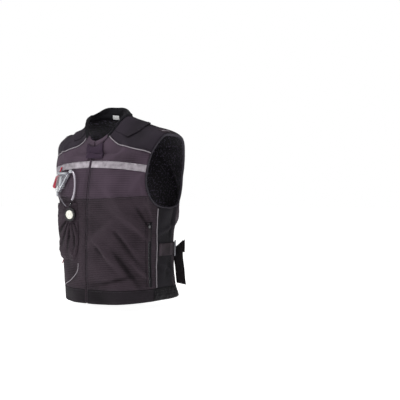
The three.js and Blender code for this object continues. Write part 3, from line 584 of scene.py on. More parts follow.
def shade(red, green, blue):
    """A colour given as screen numbers from 0 to 255."""
    return tuple(((value / 255 + 0.055) / 1.055) ** 2.4 if value > 10 else value / 255 / 12.92
                 for value in (red, green, blue))


def scaled(colour, share):
    return tuple(min(1.0, value * share) for value in colour)


# %% [markdown]
# The shell uses several cloths. The chest is a tight weave with faint upright streaks, the lower
# front and back a mesh knitted in level ribs with rows of tiny holes, the sides a finer stretch mesh
# and the shoulders a plain strong weave. All share one recipe: a repeat of threads for the relief,
# a slow noise for uneven dye, and painted light on the folds: crests painted lighter, a painted
# highlight with some rubbing wear, and valleys painted darker, as painted shade.

# %% Cloth finishes
WEAVE_PITCH = 0.0012
CREST_SHADE_AND_WEAR = 0.85
LINE_PITCH = 0.0074
RIB_PITCH = 0.0070
HOLE_PITCH = 0.0032


def dye_with_painted_fold_light(finish, colour, height, streaks, uneven=0.6):
    """Base colour with uneven dye, shaded threads, upright streaks, and painted light on the folds: lighter
    crests, a painted highlight with some wear, and darker valleys, painted shade.
    """
    cloudy = finish.noise(finish.object_places(), 9.0, 4.0)
    tone = (height * 0.7 + 0.35) * (cloudy * uneven + (1 - uneven / 2)) + (streaks - 0.5) * 0.45
    # Painted light on the folds: crests lighter, a painted highlight with some rubbing wear; valleys darker,
    # painted shade.
    tone = tone + finish.crest() * CREST_SHADE_AND_WEAR
    finish.feed("Base Color", finish.blend(tone.kept(), scaled(colour, 0.35), scaled(colour, 1.45)))
    rough = cloudy * 0.16 + 0.70
    finish.feed("Roughness", rough)


def woven(name, colour, pitch=WEAVE_PITCH, streak=0.5, sheen=0.04):
    finish = Finish(name, Sheen_Weight=sheen, Sheen_Roughness=0.45, Specular_IOR_Level=0.10)
    across, up, places = finish.cloth_places()
    over = across.wave(pitch) * up.wave(pitch) + (1 - across.wave(pitch)) * (1 - up.wave(pitch))
    over = over * 0.6 + up.wave(LINE_PITCH) * 0.4
    streaks = finish.noise(places, 1.0, 3.0, (210.0, 12.0, 1.0)) * streak + (1 - streak) * 0.5
    dye_with_painted_fold_light(finish, colour, over, streaks)
    finish.bump(over + streaks * 0.8, 0.0004, 0.7)
    return finish.material


def ribbed_mesh(name, colour, rib=RIB_PITCH, hole=HOLE_PITCH, depth=0.0010, sheen=0.03):
    finish = Finish(name, Sheen_Weight=sheen, Sheen_Roughness=0.5, Specular_IOR_Level=0.09)
    across, up, places = finish.cloth_places()
    ribs = up.wave(rib)
    holes = (across.wave(hole) * up.wave(rib / 2)).above(0.62)
    height = ribs * 0.7 + 0.3 - holes * 0.55
    streaks = finish.noise(places, 1.0, 2.0, (60.0, 60.0, 1.0))
    dye_with_painted_fold_light(finish, colour, height, streaks)
    finish.bump(height, depth, 0.9)
    return finish.material


def spacer_mesh(name, colour, pitch=0.0042, sheen=0.05):
    """Open honeycomb mesh over black foam, whose knots are painted as bright specks, a painted glint."""
    finish = Finish(name, Sheen_Weight=sheen, Sheen_Roughness=0.5, Specular_IOR_Level=0.25)
    across, up, places = finish.cloth_places()
    cells = finish.node("ShaderNodeTexVoronoi", {"feature": "DISTANCE_TO_EDGE"},
                        {"Vector": places, "Scale": 1 / pitch, "Randomness": 0.25})
    wall = 1 - (Value(finish, cells.outputs[0]) * 5.0).kept()
    painted_knot_glints = finish.noise(places, 1 / pitch * 0.6, 1.0).above(0.58) * wall
    colour_low = scaled(colour, 0.45)
    base = finish.blend(wall, colour_low, colour)
    # The knots are painted many times brighter than the mesh: painted glints.
    finish.feed("Base Color", finish.blend(painted_knot_glints * 0.8, base, scaled(colour, 16.0)))
    finish.feed("Roughness", wall * -0.2 + 0.9)
    finish.bump(wall, 0.0010, 0.9)
    return finish.material


CHEST = shade(61, 50, 60)
LOWER = shade(47, 39, 45)
YOKE = shade(36, 31, 38)
SIDE = shade(25, 23, 27)

chest_cloth = woven("chest_cloth", CHEST)
lower_cloth = ribbed_mesh("body_mesh", LOWER)
yoke_cloth = woven("shoulder_cloth", YOKE, streak=0.3)
side_cloth = ribbed_mesh("side_mesh", SIDE, rib=0.0026, hole=0.0022, depth=0.0004)
hem_cloth = woven("hem_cloth", shade(29, 25, 29), streak=0.3)
lining_cloth = spacer_mesh("lining_mesh", shade(28, 24, 33))
print("cloths", len(bpy.data.materials))

# %% [markdown]
# A cloth panel starts as a flat grid. Its points are laid over the form between the panel's four
# seams, closer together near the edges, where the cloth rolls down into the seam, dips under the
# row of stitches and puckers a little. Solidify then gives the wall its thickness. The grid also
# carries its own coordinates in metres, which the weave follows, and the height of its folds, for
# painted light: a painted highlight on the crests, with some wear, and painted shade in the valleys.
# A plain piece lies flat, with neither rolled nor puckered edges.

# %% Laying cloth over the form
CELL = 0.006
ROLL_REACH = 0.0030
STITCH_INSET = 0.0042
STITCH_DIP, DIP_REACH = 0.35, 0.0009
PUCKER_PITCH, PUCKER_REACH = (0.017, 0.019), 0.010
EDGE_OFFSETS = np.array([0.0, 0.0008, 0.0018, 0.0030, 0.0042, 0.0054, 0.0075])
ARC_DEGREES = np.linspace(-200, 380, 291)
ARC_LEVELS = np.linspace(-0.02, 1.10, 57)


def arc_table():
    degrees, level = np.meshgrid(ARC_DEGREES, ARC_LEVELS)
    steps = length(directions(degrees, level)[0]) * (ARC_DEGREES[1] - ARC_DEGREES[0])
    arcs = np.cumsum(steps, axis=1)
    zero = np.argmin(np.abs(ARC_DEGREES))
    return arcs - arcs[:, zero:zero + 1]


ARCS = arc_table()
RISE_SCALE = 0.74


def table_place(values, stops):
    """How many even stops along a table some values lie."""
    return np.clip((values - stops[0]) / (stops[1] - stops[0]), 0, len(stops) - 1.001)


def cloth_place(degrees, level):
    """Metres round the body from the zip, and metres up from the hem."""
    column, row = table_place(degrees, ARC_DEGREES), table_place(level, ARC_LEVELS)
    i, j = column.astype(int), row.astype(int)
    a, b = column - i, row - j
    arc = ((1 - a) * (1 - b) * ARCS[j, i] + a * (1 - b) * ARCS[j, i + 1]
           + (1 - a) * b * ARCS[j + 1, i] + a * b * ARCS[j + 1, i + 1])
    return np.stack([arc, level * RISE_SCALE], axis=-1)


def shares(span, cell, edges):
    """Shares along a panel, close together where its two edges roll in."""
    near = EDGE_OFFSETS / span if edges else np.array([0.0, 0.02])
    count = max(3, round(span / cell))
    middle = np.linspace(near[-1], 1 - near[-1], count)
    return np.concatenate([near[:-1], middle, (1 - near[:-1])[::-1]])


def new_grid(name, columns, rows):
    """A grid primitive, with each point's column and row."""
    bpy.ops.mesh.primitive_grid_add(x_subdivisions=columns, y_subdivisions=rows, size=1)
    piece = bpy.context.active_object
    piece.name = name
    piece.data.name = name
    flat = np.empty(len(piece.data.vertices) * 3)
    piece.data.vertices.foreach_get("co", flat)
    flat = flat.reshape(-1, 3) + 0.5
    return piece, np.rint(flat[:, 0] * columns).astype(int), np.rint(flat[:, 1] * rows).astype(int)


def set_points(piece, points):
    piece.data.vertices.foreach_set("co", np.asarray(points, float).ravel())
    piece.data.update()


def set_cloth_map(piece, coordinates):
    layer = piece.data.uv_layers[0] if piece.data.uv_layers else piece.data.uv_layers.new()
    layer.name = "cloth"
    corners = np.empty(len(piece.data.loops), int)
    piece.data.loops.foreach_get("vertex_index", corners)
    layer.data.foreach_set("uv", coordinates[corners].ravel())


CREST_HEIGHT = 0.0055


def set_crest(piece, heights):
    """Keeps how far each point stands on a fold, from -1 to 1, for painted light: lighter crests, a painted
    highlight with some wear, and darker valleys, painted shade.
    """
    crest = piece.data.attributes.new("crest", "FLOAT", "POINT")
    crest.data.foreach_set("value", np.tanh(heights / CREST_HEIGHT).astype(np.float32))


def modifier(piece, kind, **settings):
    """Adds a modifier with its settings and applies it."""
    bpy.context.view_layer.objects.active = piece
    added = piece.modifiers.new(kind.lower(), kind)
    for name, value in settings.items():
        setattr(added, name, value)
    bpy.ops.object.modifier_apply(modifier=added.name)


def dress(piece, material, slot, *nodes):
    """Gives a finished piece its material and its body, and hides the frame nodes that it stands for."""
    piece.data.materials.clear()
    piece.data.materials.append(material)
    piece.data.shade_smooth()
    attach(piece, "root")
    if nodes:
        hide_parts(*nodes)
    piece.select_set(False)
    return piece


def span_of(spot):
    """A patch's mean width and height in metres."""
    middle = np.full(9, 0.5)
    run = np.linspace(0, 1, 9)
    across = form(*spot(run, middle))
    tall = form(*spot(middle, run))
    return length(np.diff(across, axis=0)).sum(), length(np.diff(tall, axis=0)).sum()


def lay(name, spot, out=0.0, wall=0.0022, cell=CELL, roll=0.0014, pucker=0.0005, lift=None, edges=True,
        crest_gain=0.0):
    """A cloth panel over the form. lift(u, w) adds metres of height."""
    width, height = span_of(spot)
    us, ws = shares(width, cell, edges), shares(height, cell, edges)
    piece, i, j = new_grid(name, len(us) - 1, len(ws) - 1)
    u, w = us[i], ws[j]
    degrees, level = spot(u, w)
    edge = np.minimum(np.minimum(u, 1 - u) * width, np.minimum(w, 1 - w) * height)
    drop = roll * np.clip(1 - edge / ROLL_REACH, 0, 1) ** 2
    drop += roll * STITCH_DIP * np.exp(-(((edge - STITCH_INSET) / DIP_REACH) ** 2))
    arc = cloth_place(degrees, level)
    across_waves = np.sin(arc[:, 0] * 2 * np.pi / PUCKER_PITCH[0] + 5 * arc[:, 1])
    gather = across_waves * np.sin(arc[:, 1] * 2 * np.pi / PUCKER_PITCH[1])
    drop -= pucker * gather * np.exp(-edge / PUCKER_REACH)
    raised = 0 if lift is None else lift(u, w)
    set_points(piece, place(degrees, level, out - drop + raised))
    set_crest(piece, relief(degrees, level) + crest_gain * raised)
    set_cloth_map(piece, arc)
    modifier(piece, "SOLIDIFY", thickness=wall, offset=-1)
    return piece


PLAIN = {"roll": 0, "pucker": 0, "edges": False}
print("cell", CELL)

# %% [markdown]
# The shell has a chest and a lower panel at each side of the zip, a stretch panel under each arm,
# a yoke over each shoulder, and a back in two panels. Their seams are the lines above, so two
# neighbours roll down into the same groove.

# %% Shell panels
# shares of an edge at which it turns from a seam to the armhole, or back
FRONT_CORNER, CHEST_CORNER, BACK_CORNER, BACK_YOKE_CORNER = 10 / 13, 7 / 13, 7 / 14, 4 / 10


def shell_spots():
    lower = patch(
        line(front_foot, side_edge(0.0)),
        chain(chest_seam, FRONT_CORNER, along_armhole(chest_end, side_angle)),
        beside_zip(HEM_LEVEL, CHEST_FRONT),
        side_edge,
    )
    chest = patch(
        chest_seam,
        line(front_neck, YOKE_SEAM[-1]),
        beside_zip(CHEST_FRONT, 1),
        chain(along_armhole(chest_end, yoke_end), CHEST_CORNER, yoke_seam),
    )
    side = patch(
        line(side_edge(0.0), (BACK_SEAM, HEM_LEVEL)),
        along_armhole(side_angle, 360 + back_angle),
        side_edge,
        rear_foot,
    )
    yoke = patch(along_armhole(yoke_end, 90), line(YOKE_SEAM[-1], (RIDGE, 1)), yoke_seam, ridge_line)
    return {"lower": lower, "chest": chest, "side": side, "yoke": yoke}


def back_spots():
    def opposite(edge):
        def at(share):
            degrees, level = edge(share)
            return 360 - degrees, level

        return at

    rear = armhole(rear_end)
    low_left = chain(rear_foot, BACK_CORNER, along_armhole(back_angle, rear_end))
    high_left = chain(along_armhole(rear_end, 90), BACK_YOKE_CORNER, ridge_line)
    yoke_line = line(rear, (360 - rear[0], rear[1]))
    foot = line((BACK_SEAM, HEM_LEVEL), (360 - BACK_SEAM, HEM_LEVEL))
    back = patch(foot, yoke_line, low_left, opposite(low_left))
    yoke = patch(yoke_line, line((RIDGE, 1), (360 - RIDGE, 1)), high_left, opposite(high_left))
    return {"back": back, "back_yoke": yoke}


SPOTS = {**shell_spots(), **back_spots()}
SHELL = (
    # panel, material, slot, frame node
    ("lower", lower_cloth, "body_mesh", "front_lower"),
    ("chest", chest_cloth, "chest_cloth", "front_chest"),
    ("side", side_cloth, "side_mesh", "side_panel"),
    ("yoke", yoke_cloth, "shoulder_cloth", "yoke"),
)
for panel, material, slot, node in SHELL:
    for side_name, _, turned_side in SIDES:
        piece = lay(f"{panel}_cloth_{side_name}", turned_side(SPOTS[panel]))
        dress(piece, material, slot, f"{node}_{side_name}")
dress(lay("back_cloth", SPOTS["back"]), lower_cloth, "body_mesh", "back_panel")
dress(lay("back_yoke_cloth", SPOTS["back_yoke"]), yoke_cloth, "shoulder_cloth", "yoke_back")
print("shell panels", len(SIDES) * len(SHELL) + 2)

# %% [markdown]
# Sewn and hard pieces need a few more tools. A seat stands a hard piece on the cloth. A turned piece
# grows from a circle by extruding and scaling it, as on a lathe. A tube is a curve with a round bevel,
# made a mesh. Copies join many small things, such as stitches and zip teeth, into one mesh.

# %% Tools for trim
def seat(degrees, level, out=0.0, turn=0.0):
    """Stands on the cloth: x runs round the body, y up it and z straight out."""
    degrees, level = float(degrees), float(level)
    along, _, normal = (Vector(vector) for vector in directions(degrees, level))
    flat = (along - normal * along.dot(normal)).normalized()
    basis = Matrix((flat, normal.cross(flat), normal)).transposed().to_4x4()
    spot = Vector(place(np.array([degrees]), np.array([level]), out, rumple=False)[0])
    return Matrix.Translation(spot) @ basis @ Matrix.Rotation(math.radians(turn), 4, "Z")


def settle(piece, matrix=None):
    """Moves a piece to its seat and leaves its object at the origin."""
    if matrix is not None:
        piece.matrix_world = matrix @ piece.matrix_world
    bpy.ops.object.select_all(action="DESELECT")
    piece.select_set(True)
    bpy.context.view_layer.objects.active = piece
    bpy.ops.object.transform_apply(location=True, rotation=True, scale=True)
    piece.select_set(False)
    return piece


def turned(name, profile, segments=48):
    """A round piece along its own z, from (radius, height) steps."""
    radius, height = profile[0]
    bpy.ops.mesh.primitive_circle_add(vertices=segments, radius=radius, fill_type="NGON")
    piece = bpy.context.active_object
    piece.name = piece.data.name = name
    bpy.ops.object.mode_set(mode="EDIT")
    bpy.ops.mesh.select_all(action="SELECT")
    bpy.ops.transform.translate(value=(0, 0, height))
    for wider, higher in profile[1:]:
        bpy.ops.mesh.extrude_region_move(TRANSFORM_OT_translate={"value": (0, 0, higher - height)})
        share = wider / radius
        bpy.ops.transform.resize(value=(share, share, 1), center_override=(0, 0, higher))
        radius, height = wider, higher
    bpy.ops.mesh.select_all(action="SELECT")
    bpy.ops.mesh.normals_make_consistent(inside=False)
    bpy.ops.object.mode_set(mode="OBJECT")
    return piece


def tube(name, points, radius, sides=3, smooth=5, cyclic=False):
    """A round cord through points, with closed ends."""
    bpy.ops.curve.primitive_bezier_curve_add()
    piece = bpy.context.active_object
    spline = piece.data.splines[0]
    spline.bezier_points.add(len(points) - len(spline.bezier_points))
    for knot, point in zip(spline.bezier_points, points):
        knot.co = point
        knot.handle_left_type = knot.handle_right_type = "AUTO"
    spline.use_cyclic_u = cyclic
    piece.data.dimensions = "3D"
    piece.data.bevel_depth = radius
    piece.data.bevel_resolution = sides
    piece.data.resolution_u = smooth
    piece.data.use_fill_caps = not cyclic
    bpy.ops.object.convert(target="MESH")
    piece = bpy.context.active_object
    piece.name = piece.data.name = name
    return piece


def soften(piece, width, steps=2, angle=35):
    limit = math.radians(angle)
    modifier(piece, "BEVEL", width=width, segments=steps, limit_method="ANGLE", angle_limit=limit)
    return piece


def block(name, size, centre=(0, 0, 0), bevel=0.0006):
    """A hard block with softened edges."""
    bpy.ops.mesh.primitive_cube_add(size=1, location=centre, scale=size)
    piece = bpy.context.active_object
    piece.name = piece.data.name = name
    settle(piece)
    return soften(piece, bevel)


def joined(name, pieces):
    """Several parts made one mesh."""
    bpy.ops.object.select_all(action="DESELECT")
    for piece in pieces:
        piece.select_set(True)
    bpy.context.view_layer.objects.active = pieces[0]
    bpy.ops.object.join()
    whole = bpy.context.active_object
    whole.name = whole.data.name = name
    whole.select_set(False)
    return whole


def line_frames(route, pitch, out=0.0, rumple=True, samples=260):
    """Even stops along a line on the cloth: centres, and bases of along, across and outward."""
    share = np.linspace(0, 1, samples)
    degrees, level = (np.broadcast_to(value, share.shape) for value in route(share))
    points = place(degrees, level, out, rumple)
    normals = directions(degrees, level)[2]
    run = np.concatenate([[0], np.cumsum(length(np.diff(points, axis=0)))])
    count = max(1, int(run[-1] / pitch))
    stops = (np.arange(count) + 0.5) / count * run[-1]

    def at(values, where):
        return np.stack([np.interp(where, run, values[:, k]) for k in range(3)], axis=-1)

    ahead = at(points, stops + pitch / 3) - at(points, stops - pitch / 3)
    ahead /= length(ahead)[:, None]
    normal = at(normals, stops)
    normal -= ahead * (normal * ahead).sum(axis=1)[:, None]
    normal /= length(normal)[:, None]
    return at(points, stops), np.stack([ahead, np.cross(normal, ahead), normal], axis=-1)


def copies(name, template, frames):
    """One mesh of a small piece repeated on each frame. The template is used up."""
    corner = np.array([vertex.co for vertex in template.data.vertices])
    faces = [list(face.vertices) for face in template.data.polygons]
    centres = np.concatenate([centre for centre, _ in frames])
    bases = np.concatenate([basis for _, basis in frames])
    points = np.einsum("nij,kj->nki", bases, corner) + centres[:, None, :]
    rings = [[k * len(corner) + i for i in face] for k in range(len(centres)) for face in faces]
    data = bpy.data.meshes.new(name)
    data.from_pydata(points.reshape(-1, 3).tolist(), [], rings)
    piece = bpy.data.objects.new(name, data)
    bpy.context.scene.collection.objects.link(piece)
    bpy.data.objects.remove(template)
    return piece


def shifted(route, distance):
    """The same line, so many metres to its left on the cloth."""

    def at(share):
        share = np.asarray(share, float)
        degrees, level = route(share)
        ahead, behind = route(np.clip(share + 0.01, 0, 1)), route(np.clip(share - 0.01, 0, 1))
        along, up, _ = directions(degrees, level)
        run, rise = (ahead[0] - behind[0]) * length(along), (ahead[1] - behind[1]) * length(up)
        size = np.hypot(run, rise)
        return travel(degrees, level, -rise / size * distance, run / size * distance, steps=2)

    return at


def flipped(route, side):
    """A line of the wearer's left side, or its mirror image for side -1."""

    def at(share):
        degrees, level = route(share)
        return side * degrees, level

    return at


def trimmed(route, start, end):
    return lambda share: route(mix(start, end, np.asarray(share, float)))


def up_line(spot, share, low=0.0, high=1.0):
    """The line up a patch at one share of its width."""
    return lambda t: spot(share + 0 * t, mix(low, high, t))


STITCH_LENGTH = 0.0030
STITCH_PITCH, COARSE_PITCH, FINE_PITCH = 0.0034, 0.0036, 0.0028
THREAD_RADIUS = 0.00042


def stitch_template(size):
    """One stitch: a short round thread that lies along x."""
    lying = (0, math.pi / 2, 0)
    bpy.ops.mesh.primitive_cylinder_add(vertices=5, radius=THREAD_RADIUS, depth=size * 0.8, rotation=lying)
    return settle(bpy.context.active_object)


print("stitch", STITCH_LENGTH)

# %% [markdown]
# Trim has finishes of its own. Webbing, elastic, zip tape and binding are ribbed bands, cords and
# threads follow the object's own coordinates, and the stripe is a grey cloth of fine glass beads.
# Plastics, the red gas bottle, the clear housing and the metal parts are plain with a little wear.

# %% Trim finishes
def tape(name, colour, pitch=0.0016, sheen=0.03, rough=0.75, slant=0.5):
    """Woven tape: level ribs crossed by slanting floats."""
    finish = Finish(name, Sheen_Weight=sheen, Sheen_Roughness=0.5, Specular_IOR_Level=0.12)
    across, up, places = finish.cloth_places()
    ribs = up.wave(pitch)
    floats = (across * slant + up).wave(pitch * 0.8)
    height = ribs * 0.6 + floats * 0.4
    worn = finish.noise(finish.object_places(), 45.0, 4.0)
    # The crest term paints fold light on tape too: raised parts lighter as a painted highlight, hollows
    # darker as painted shade.
    tone = (height * 0.6 + 0.25) * (worn * 0.5 + 0.75) + finish.crest() * CREST_SHADE_AND_WEAR
    finish.feed("Base Color", finish.blend(tone.kept(), scaled(colour, 0.4), scaled(colour, 1.7)))
    finish.feed("Roughness", worn * 0.2 + rough - 0.1)
    finish.bump(height, 0.0005, 0.8)
    return finish.material


def threaded(name, colour, pitch=0.0011, sheen=0.1):
    """Fine cloth on small parts: threads that follow the object's own coordinates."""
    finish = Finish(name, Sheen_Weight=sheen, Sheen_Roughness=0.5, Specular_IOR_Level=0.25)
    places = finish.object_places()
    parts = finish.node("ShaderNodeSeparateXYZ", (), {0: places})
    x, y, z = (Value(finish, parts.outputs[k]) for k in range(3))
    height = (x + y).wave(pitch) * 0.5 + (z + (x - y) * 0.4).wave(pitch) * 0.5
    cloudy = finish.noise(places, 30.0, 4.0)
    tone = (height * 0.5 + 0.3) * (cloudy * 0.6 + 0.7)
    finish.feed("Base Color", finish.blend(tone.kept(), scaled(colour, 0.5), scaled(colour, 1.6)))
    finish.feed("Roughness", cloudy * 0.2 + 0.65)
    finish.bump(height, 0.0003, 0.6)
    return finish.material


def hard(name, colour, rough=0.4, metal=0.0, grain=60.0, depth=0.00005, **constants):
    """Moulded plastic, rubber or metal with fine grain, handling marks and a worn tone."""
    finish = Finish(name, **constants)
    places = finish.object_places()
    cloudy = finish.noise(places, grain, 4.0)
    fine = finish.noise(places, grain * 30, 2.0)
    finish.feed("Base Color", finish.blend(cloudy, scaled(colour, 0.82), scaled(colour, 1.14)))
    finish.feed("Roughness", cloudy * 0.18 + rough - 0.09)
    finish.feed("Metallic", cloudy * 0.04 + metal)
    finish.bump(fine + cloudy * 0.5, depth, 0.5)
    return finish.material


def reflective(name, colour):
    """Cloth covered in glass beads: bright specks, a scuffed face and diagonal creases, whose ridges are
    painted lighter as a painted highlight.
    """
    finish = Finish(name, Specular_IOR_Level=0.6)
    across, up, places = finish.cloth_places()
    beads = finish.noise(places, 1500.0, 1.0)
    scuffs = finish.noise(places, 1.0, 4.0, (26.0, 90.0, 1.0))
    crease_height_and_highlight = finish.noise(places, 1.0, 2.0, (70.0, 55.0, 1.0))
    # Crease height also raises the colour: a painted highlight on the crease ridges.
    tone = beads * 0.35 + scuffs * 0.6 + crease_height_and_highlight - 0.52
    finish.feed("Base Color", finish.blend(tone.kept(), scaled(colour, 0.30), scaled(colour, 1.45)))
    finish.feed("Metallic", scuffs * 0.2 + 0.25)
    finish.feed("Roughness", scuffs * 0.3 + 0.28)
    finish.bump(beads * 0.3 + crease_height_and_highlight, 0.0006, 0.6)
    return finish.material


def clear(name, colour):
    """Clear moulded plastic, a little milky where it was handled."""
    finish = Finish(name, IOR=1.45, Coat_Weight=0.6, Coat_Roughness=0.08)
    places = finish.object_places()
    cloudy = finish.noise(places, 90.0, 4.0)
    finish.feed("Base Color", finish.blend(cloudy, scaled(colour, 0.9), scaled(colour, 1.08)))
    finish.feed("Alpha", cloudy * 0.16 + 0.10)
    finish.feed("Roughness", cloudy * 0.22 + 0.06)
    finish.bump(cloudy, 0.0002, 0.3)
    return finish.material


GREY_CORD = shade(134, 128, 134)
RED = shade(158, 12, 44)
piping = threaded("piping_cord", GREY_CORD, pitch=0.0009)
binding = tape("binding_tape", shade(52, 49, 56), pitch=0.0012)
stripe_cloth = reflective("reflective_tape", shade(172, 164, 172))
zip_cloth = tape("zip_tape", shade(20, 18, 21), pitch=0.0013)
webbing = tape("webbing", shade(46, 39, 44), pitch=0.0017, slant=0.9)
# The tail is the strap's own webbing, painted darker: painted shade.
webbing_in_painted_shade = tape("painted_shade_tail", shade(30, 26, 29), pitch=0.0017, slant=0.9)
elastic = tape("hem_elastic", shade(19, 18, 20), pitch=0.0012, slant=0.2)
collar_cloth = woven("collar_cloth", shade(19, 18, 22), streak=0.3)
tab_cloth = woven("tab_cloth", shade(44, 33, 46), streak=0.4)
label_cloth = woven("label_cloth", shade(226, 226, 228), pitch=0.0008, streak=0.2)
tag_cloth = tape("tag_webbing", RED, pitch=0.0013, slant=0.9)
cord_cloth = threaded("lanyard_cord", shade(26, 25, 28), pitch=0.0012)
thin_cord = threaded("lanyard_thin_cord", shade(112, 108, 116), pitch=0.0012)
thread_dark = threaded("seam_thread", shade(52, 46, 53), pitch=0.0006)
thread_light = threaded("stripe_thread", shade(120, 115, 122), pitch=0.0006)
# The side buckles' colour is lightened to a pale grey all over: a painted glint on dark plastic.
buckle_plastic = hard("buckle_plastic", shade(104, 102, 110), rough=0.20, Coat_Weight=0.8)
dark_plastic = hard("dark_plastic", shade(44, 43, 48), rough=0.24, Coat_Weight=0.6)
disc_plastic = hard("disc_plastic", shade(240, 239, 228), rough=0.34, Coat_Weight=0.2)
bezel_rubber = hard("bezel_rubber", shade(24, 22, 25), rough=0.6, depth=0.0002)
hose_plastic = hard("hose_plastic", shade(178, 171, 182), rough=0.3, Coat_Weight=0.4)
red_metal = hard("red_metal", RED, rough=0.3, metal=0.55, Coat_Weight=0.7, Coat_Roughness=0.12)
fitting_metal = hard("fitting_metal", shade(204, 206, 212), rough=0.24, metal=0.9)
clear_plastic = clear("clear_plastic", shade(214, 220, 224))
window_plastic = hard("window_plastic", shade(62, 48, 68), rough=0.3, Coat_Weight=0.5)
pale_plastic = hard("pale_plastic", shade(182, 184, 190), rough=0.35, Coat_Weight=0.3)


def stitch_rows(name, routes, out, slot, thread=thread_dark, pitch=STITCH_PITCH, size=STITCH_LENGTH):
    """Rows of stitches along lines on the cloth, made one mesh."""
    rows = [line_frames(route, pitch, out) for route in routes]
    return dress(copies(name, stitch_template(size), rows), thread, slot)


print("finishes", len(bpy.data.materials))

# %% [markdown]
# Padded parts are pads of cloth over foam. A pad is a grid with a second grid as its underside. Cloth
# simulation then lets air pressure swell it while its edges stay sewn down: shrink_min below zero gives
# the cloth a little spare length, which is what makes real wrinkles. The result is applied, and no
# point may move further than a cap.

# %% Pads and their filling
SWELL_FRAMES = 24


def points_of(piece):
    flat = np.empty(len(piece.data.vertices) * 3)
    piece.data.vertices.foreach_get("co", flat)
    return flat.reshape(-1, 3)


def pad(name, spot, top, under, cell=0.0045, crest=lambda u, w: 0 * u):
    """A closed pad: top(u, w) and under(u, w) are heights over the cloth, in metres."""
    width, height = span_of(spot)
    columns, rows = max(4, round(width / cell)), max(4, round(height / cell))
    piece, i, j = new_grid(name, columns, rows)
    u, w = i / columns, j / rows
    degrees, level = spot(u, w)
    set_cloth_map(piece, cloth_place(degrees, level))
    modifier(piece, "SOLIDIFY", thickness=0.002, offset=-1)
    layers = [place(degrees, level, face(u, w)) for face in (top, under)]
    set_points(piece, np.concatenate(layers))
    heights = relief(degrees, level) + crest(u, w)
    set_crest(piece, np.concatenate([heights, 0 * heights]))
    rim = np.minimum(np.minimum(u, 1 - u) * width, np.minimum(w, 1 - w) * height)
    return piece, rim


def swell(piece, pinned, pressure=4.0, cap=0.005, spare=0.03, stiffness=12.0):
    """Fills a closed form with air. pinned is each point's hold, from 0 to 1."""
    before = points_of(piece)
    group = piece.vertex_groups.new(name="pinned")
    for index, hold in enumerate(pinned):
        if hold > 0:
            group.add([index], float(hold), "REPLACE")
    cloth = piece.modifiers.new("cloth", "CLOTH")
    cloth.settings.quality = 6
    cloth.settings.mass = 0.25
    cloth.settings.tension_stiffness = stiffness
    cloth.settings.compression_stiffness = stiffness
    cloth.settings.bending_stiffness = 0.3
    cloth.settings.shrink_min = -spare
    cloth.settings.vertex_group_mass = "pinned"
    cloth.settings.use_pressure = True
    cloth.settings.uniform_pressure_force = pressure
    cloth.settings.effector_weights.gravity = 0
    cloth.collision_settings.use_collision = False
    cloth.point_cache.frame_end = SWELL_FRAMES
    bpy.context.view_layer.objects.active = piece
    for frame in range(1, SWELL_FRAMES + 1):
        bpy.context.scene.frame_set(frame)
    bpy.ops.object.modifier_apply(modifier="cloth")
    moved = points_of(piece) - before
    far = np.maximum(length(moved), 1e-9)[:, None]
    set_points(piece, before + moved * np.minimum(1, cap / far))
    piece.vertex_groups.clear()
    bpy.context.scene.frame_set(1)
    print(piece.name, "moved up to", round(float(length(moved).max()) * 1000, 1), "mm")


print("frames of filling", SWELL_FRAMES)

# %% [markdown]
# The collar is a padded band that stands round the neck and closes at the front under a square tab.
# Its top is a soft roll. The tab is a flat padded square, quilted by a row of stitches round its edge,
# and a small bare label lies inside the back of the collar.

# %% Collar, tab and label
COLLAR_OPENING = 0.8
COLLAR_WALL = 0.0050
COLLAR_SEAT, OUTER_SWELL, INNER_SWELL = 0.0004, 0.0016, 0.0012
CHANNEL_COUNT, CHANNEL_DEPTH = 3, 0.0011
ROLL_FROM, OUTER_ROLL, INNER_ROLL = 0.86, 0.0034, 0.0012
FACING_REACH = 38
TAB_PLACE = (1.5, 0.868)
TAB_WIDTH, TAB_HEIGHT, TAB_WALL, TAB_LIFT = 0.070, 0.045, 0.003, 0.004
TAB_SEAT, TAB_HEM, TAB_STITCH, TAB_FLATNESS = 0.0016, 0.0012, 0.005, 0.5
QUILT_HEIGHT, QUILT_INSET, HEM_INSET = 0.0009, 0.011, 0.004
LABEL_PLACE = (192, 1.022)
LABEL_WIDTH, LABEL_HEIGHT, LABEL_GAP = 0.025, 0.011, 0.0024
collar_spot = patch(
    line((COLLAR_OPENING, 1), (360 - COLLAR_OPENING, 1)),
    line((COLLAR_OPENING, COLLAR_TOP), (360 - COLLAR_OPENING, COLLAR_TOP)),
    line((COLLAR_OPENING, 1), (COLLAR_OPENING, COLLAR_TOP)),
    line((360 - COLLAR_OPENING, 1), (360 - COLLAR_OPENING, COLLAR_TOP)),
)


def rolled(w):
    """0 up the collar, and rising to 1 where its top edge rolls over."""
    return np.clip((w - ROLL_FROM) / (1 - ROLL_FROM), 0, 1) ** 2


def collar_outside(_, w):
    channels = CHANNEL_DEPTH * np.cos(w * CHANNEL_COUNT * 2 * np.pi) * np.sin(np.pi * w)
    return COLLAR_SEAT + OUTER_SWELL * np.sin(np.pi * w) - channels - OUTER_ROLL * rolled(w)


def collar_inside(_, w):
    return -COLLAR_WALL - INNER_SWELL * np.sin(np.pi * w) + INNER_ROLL * rolled(w)


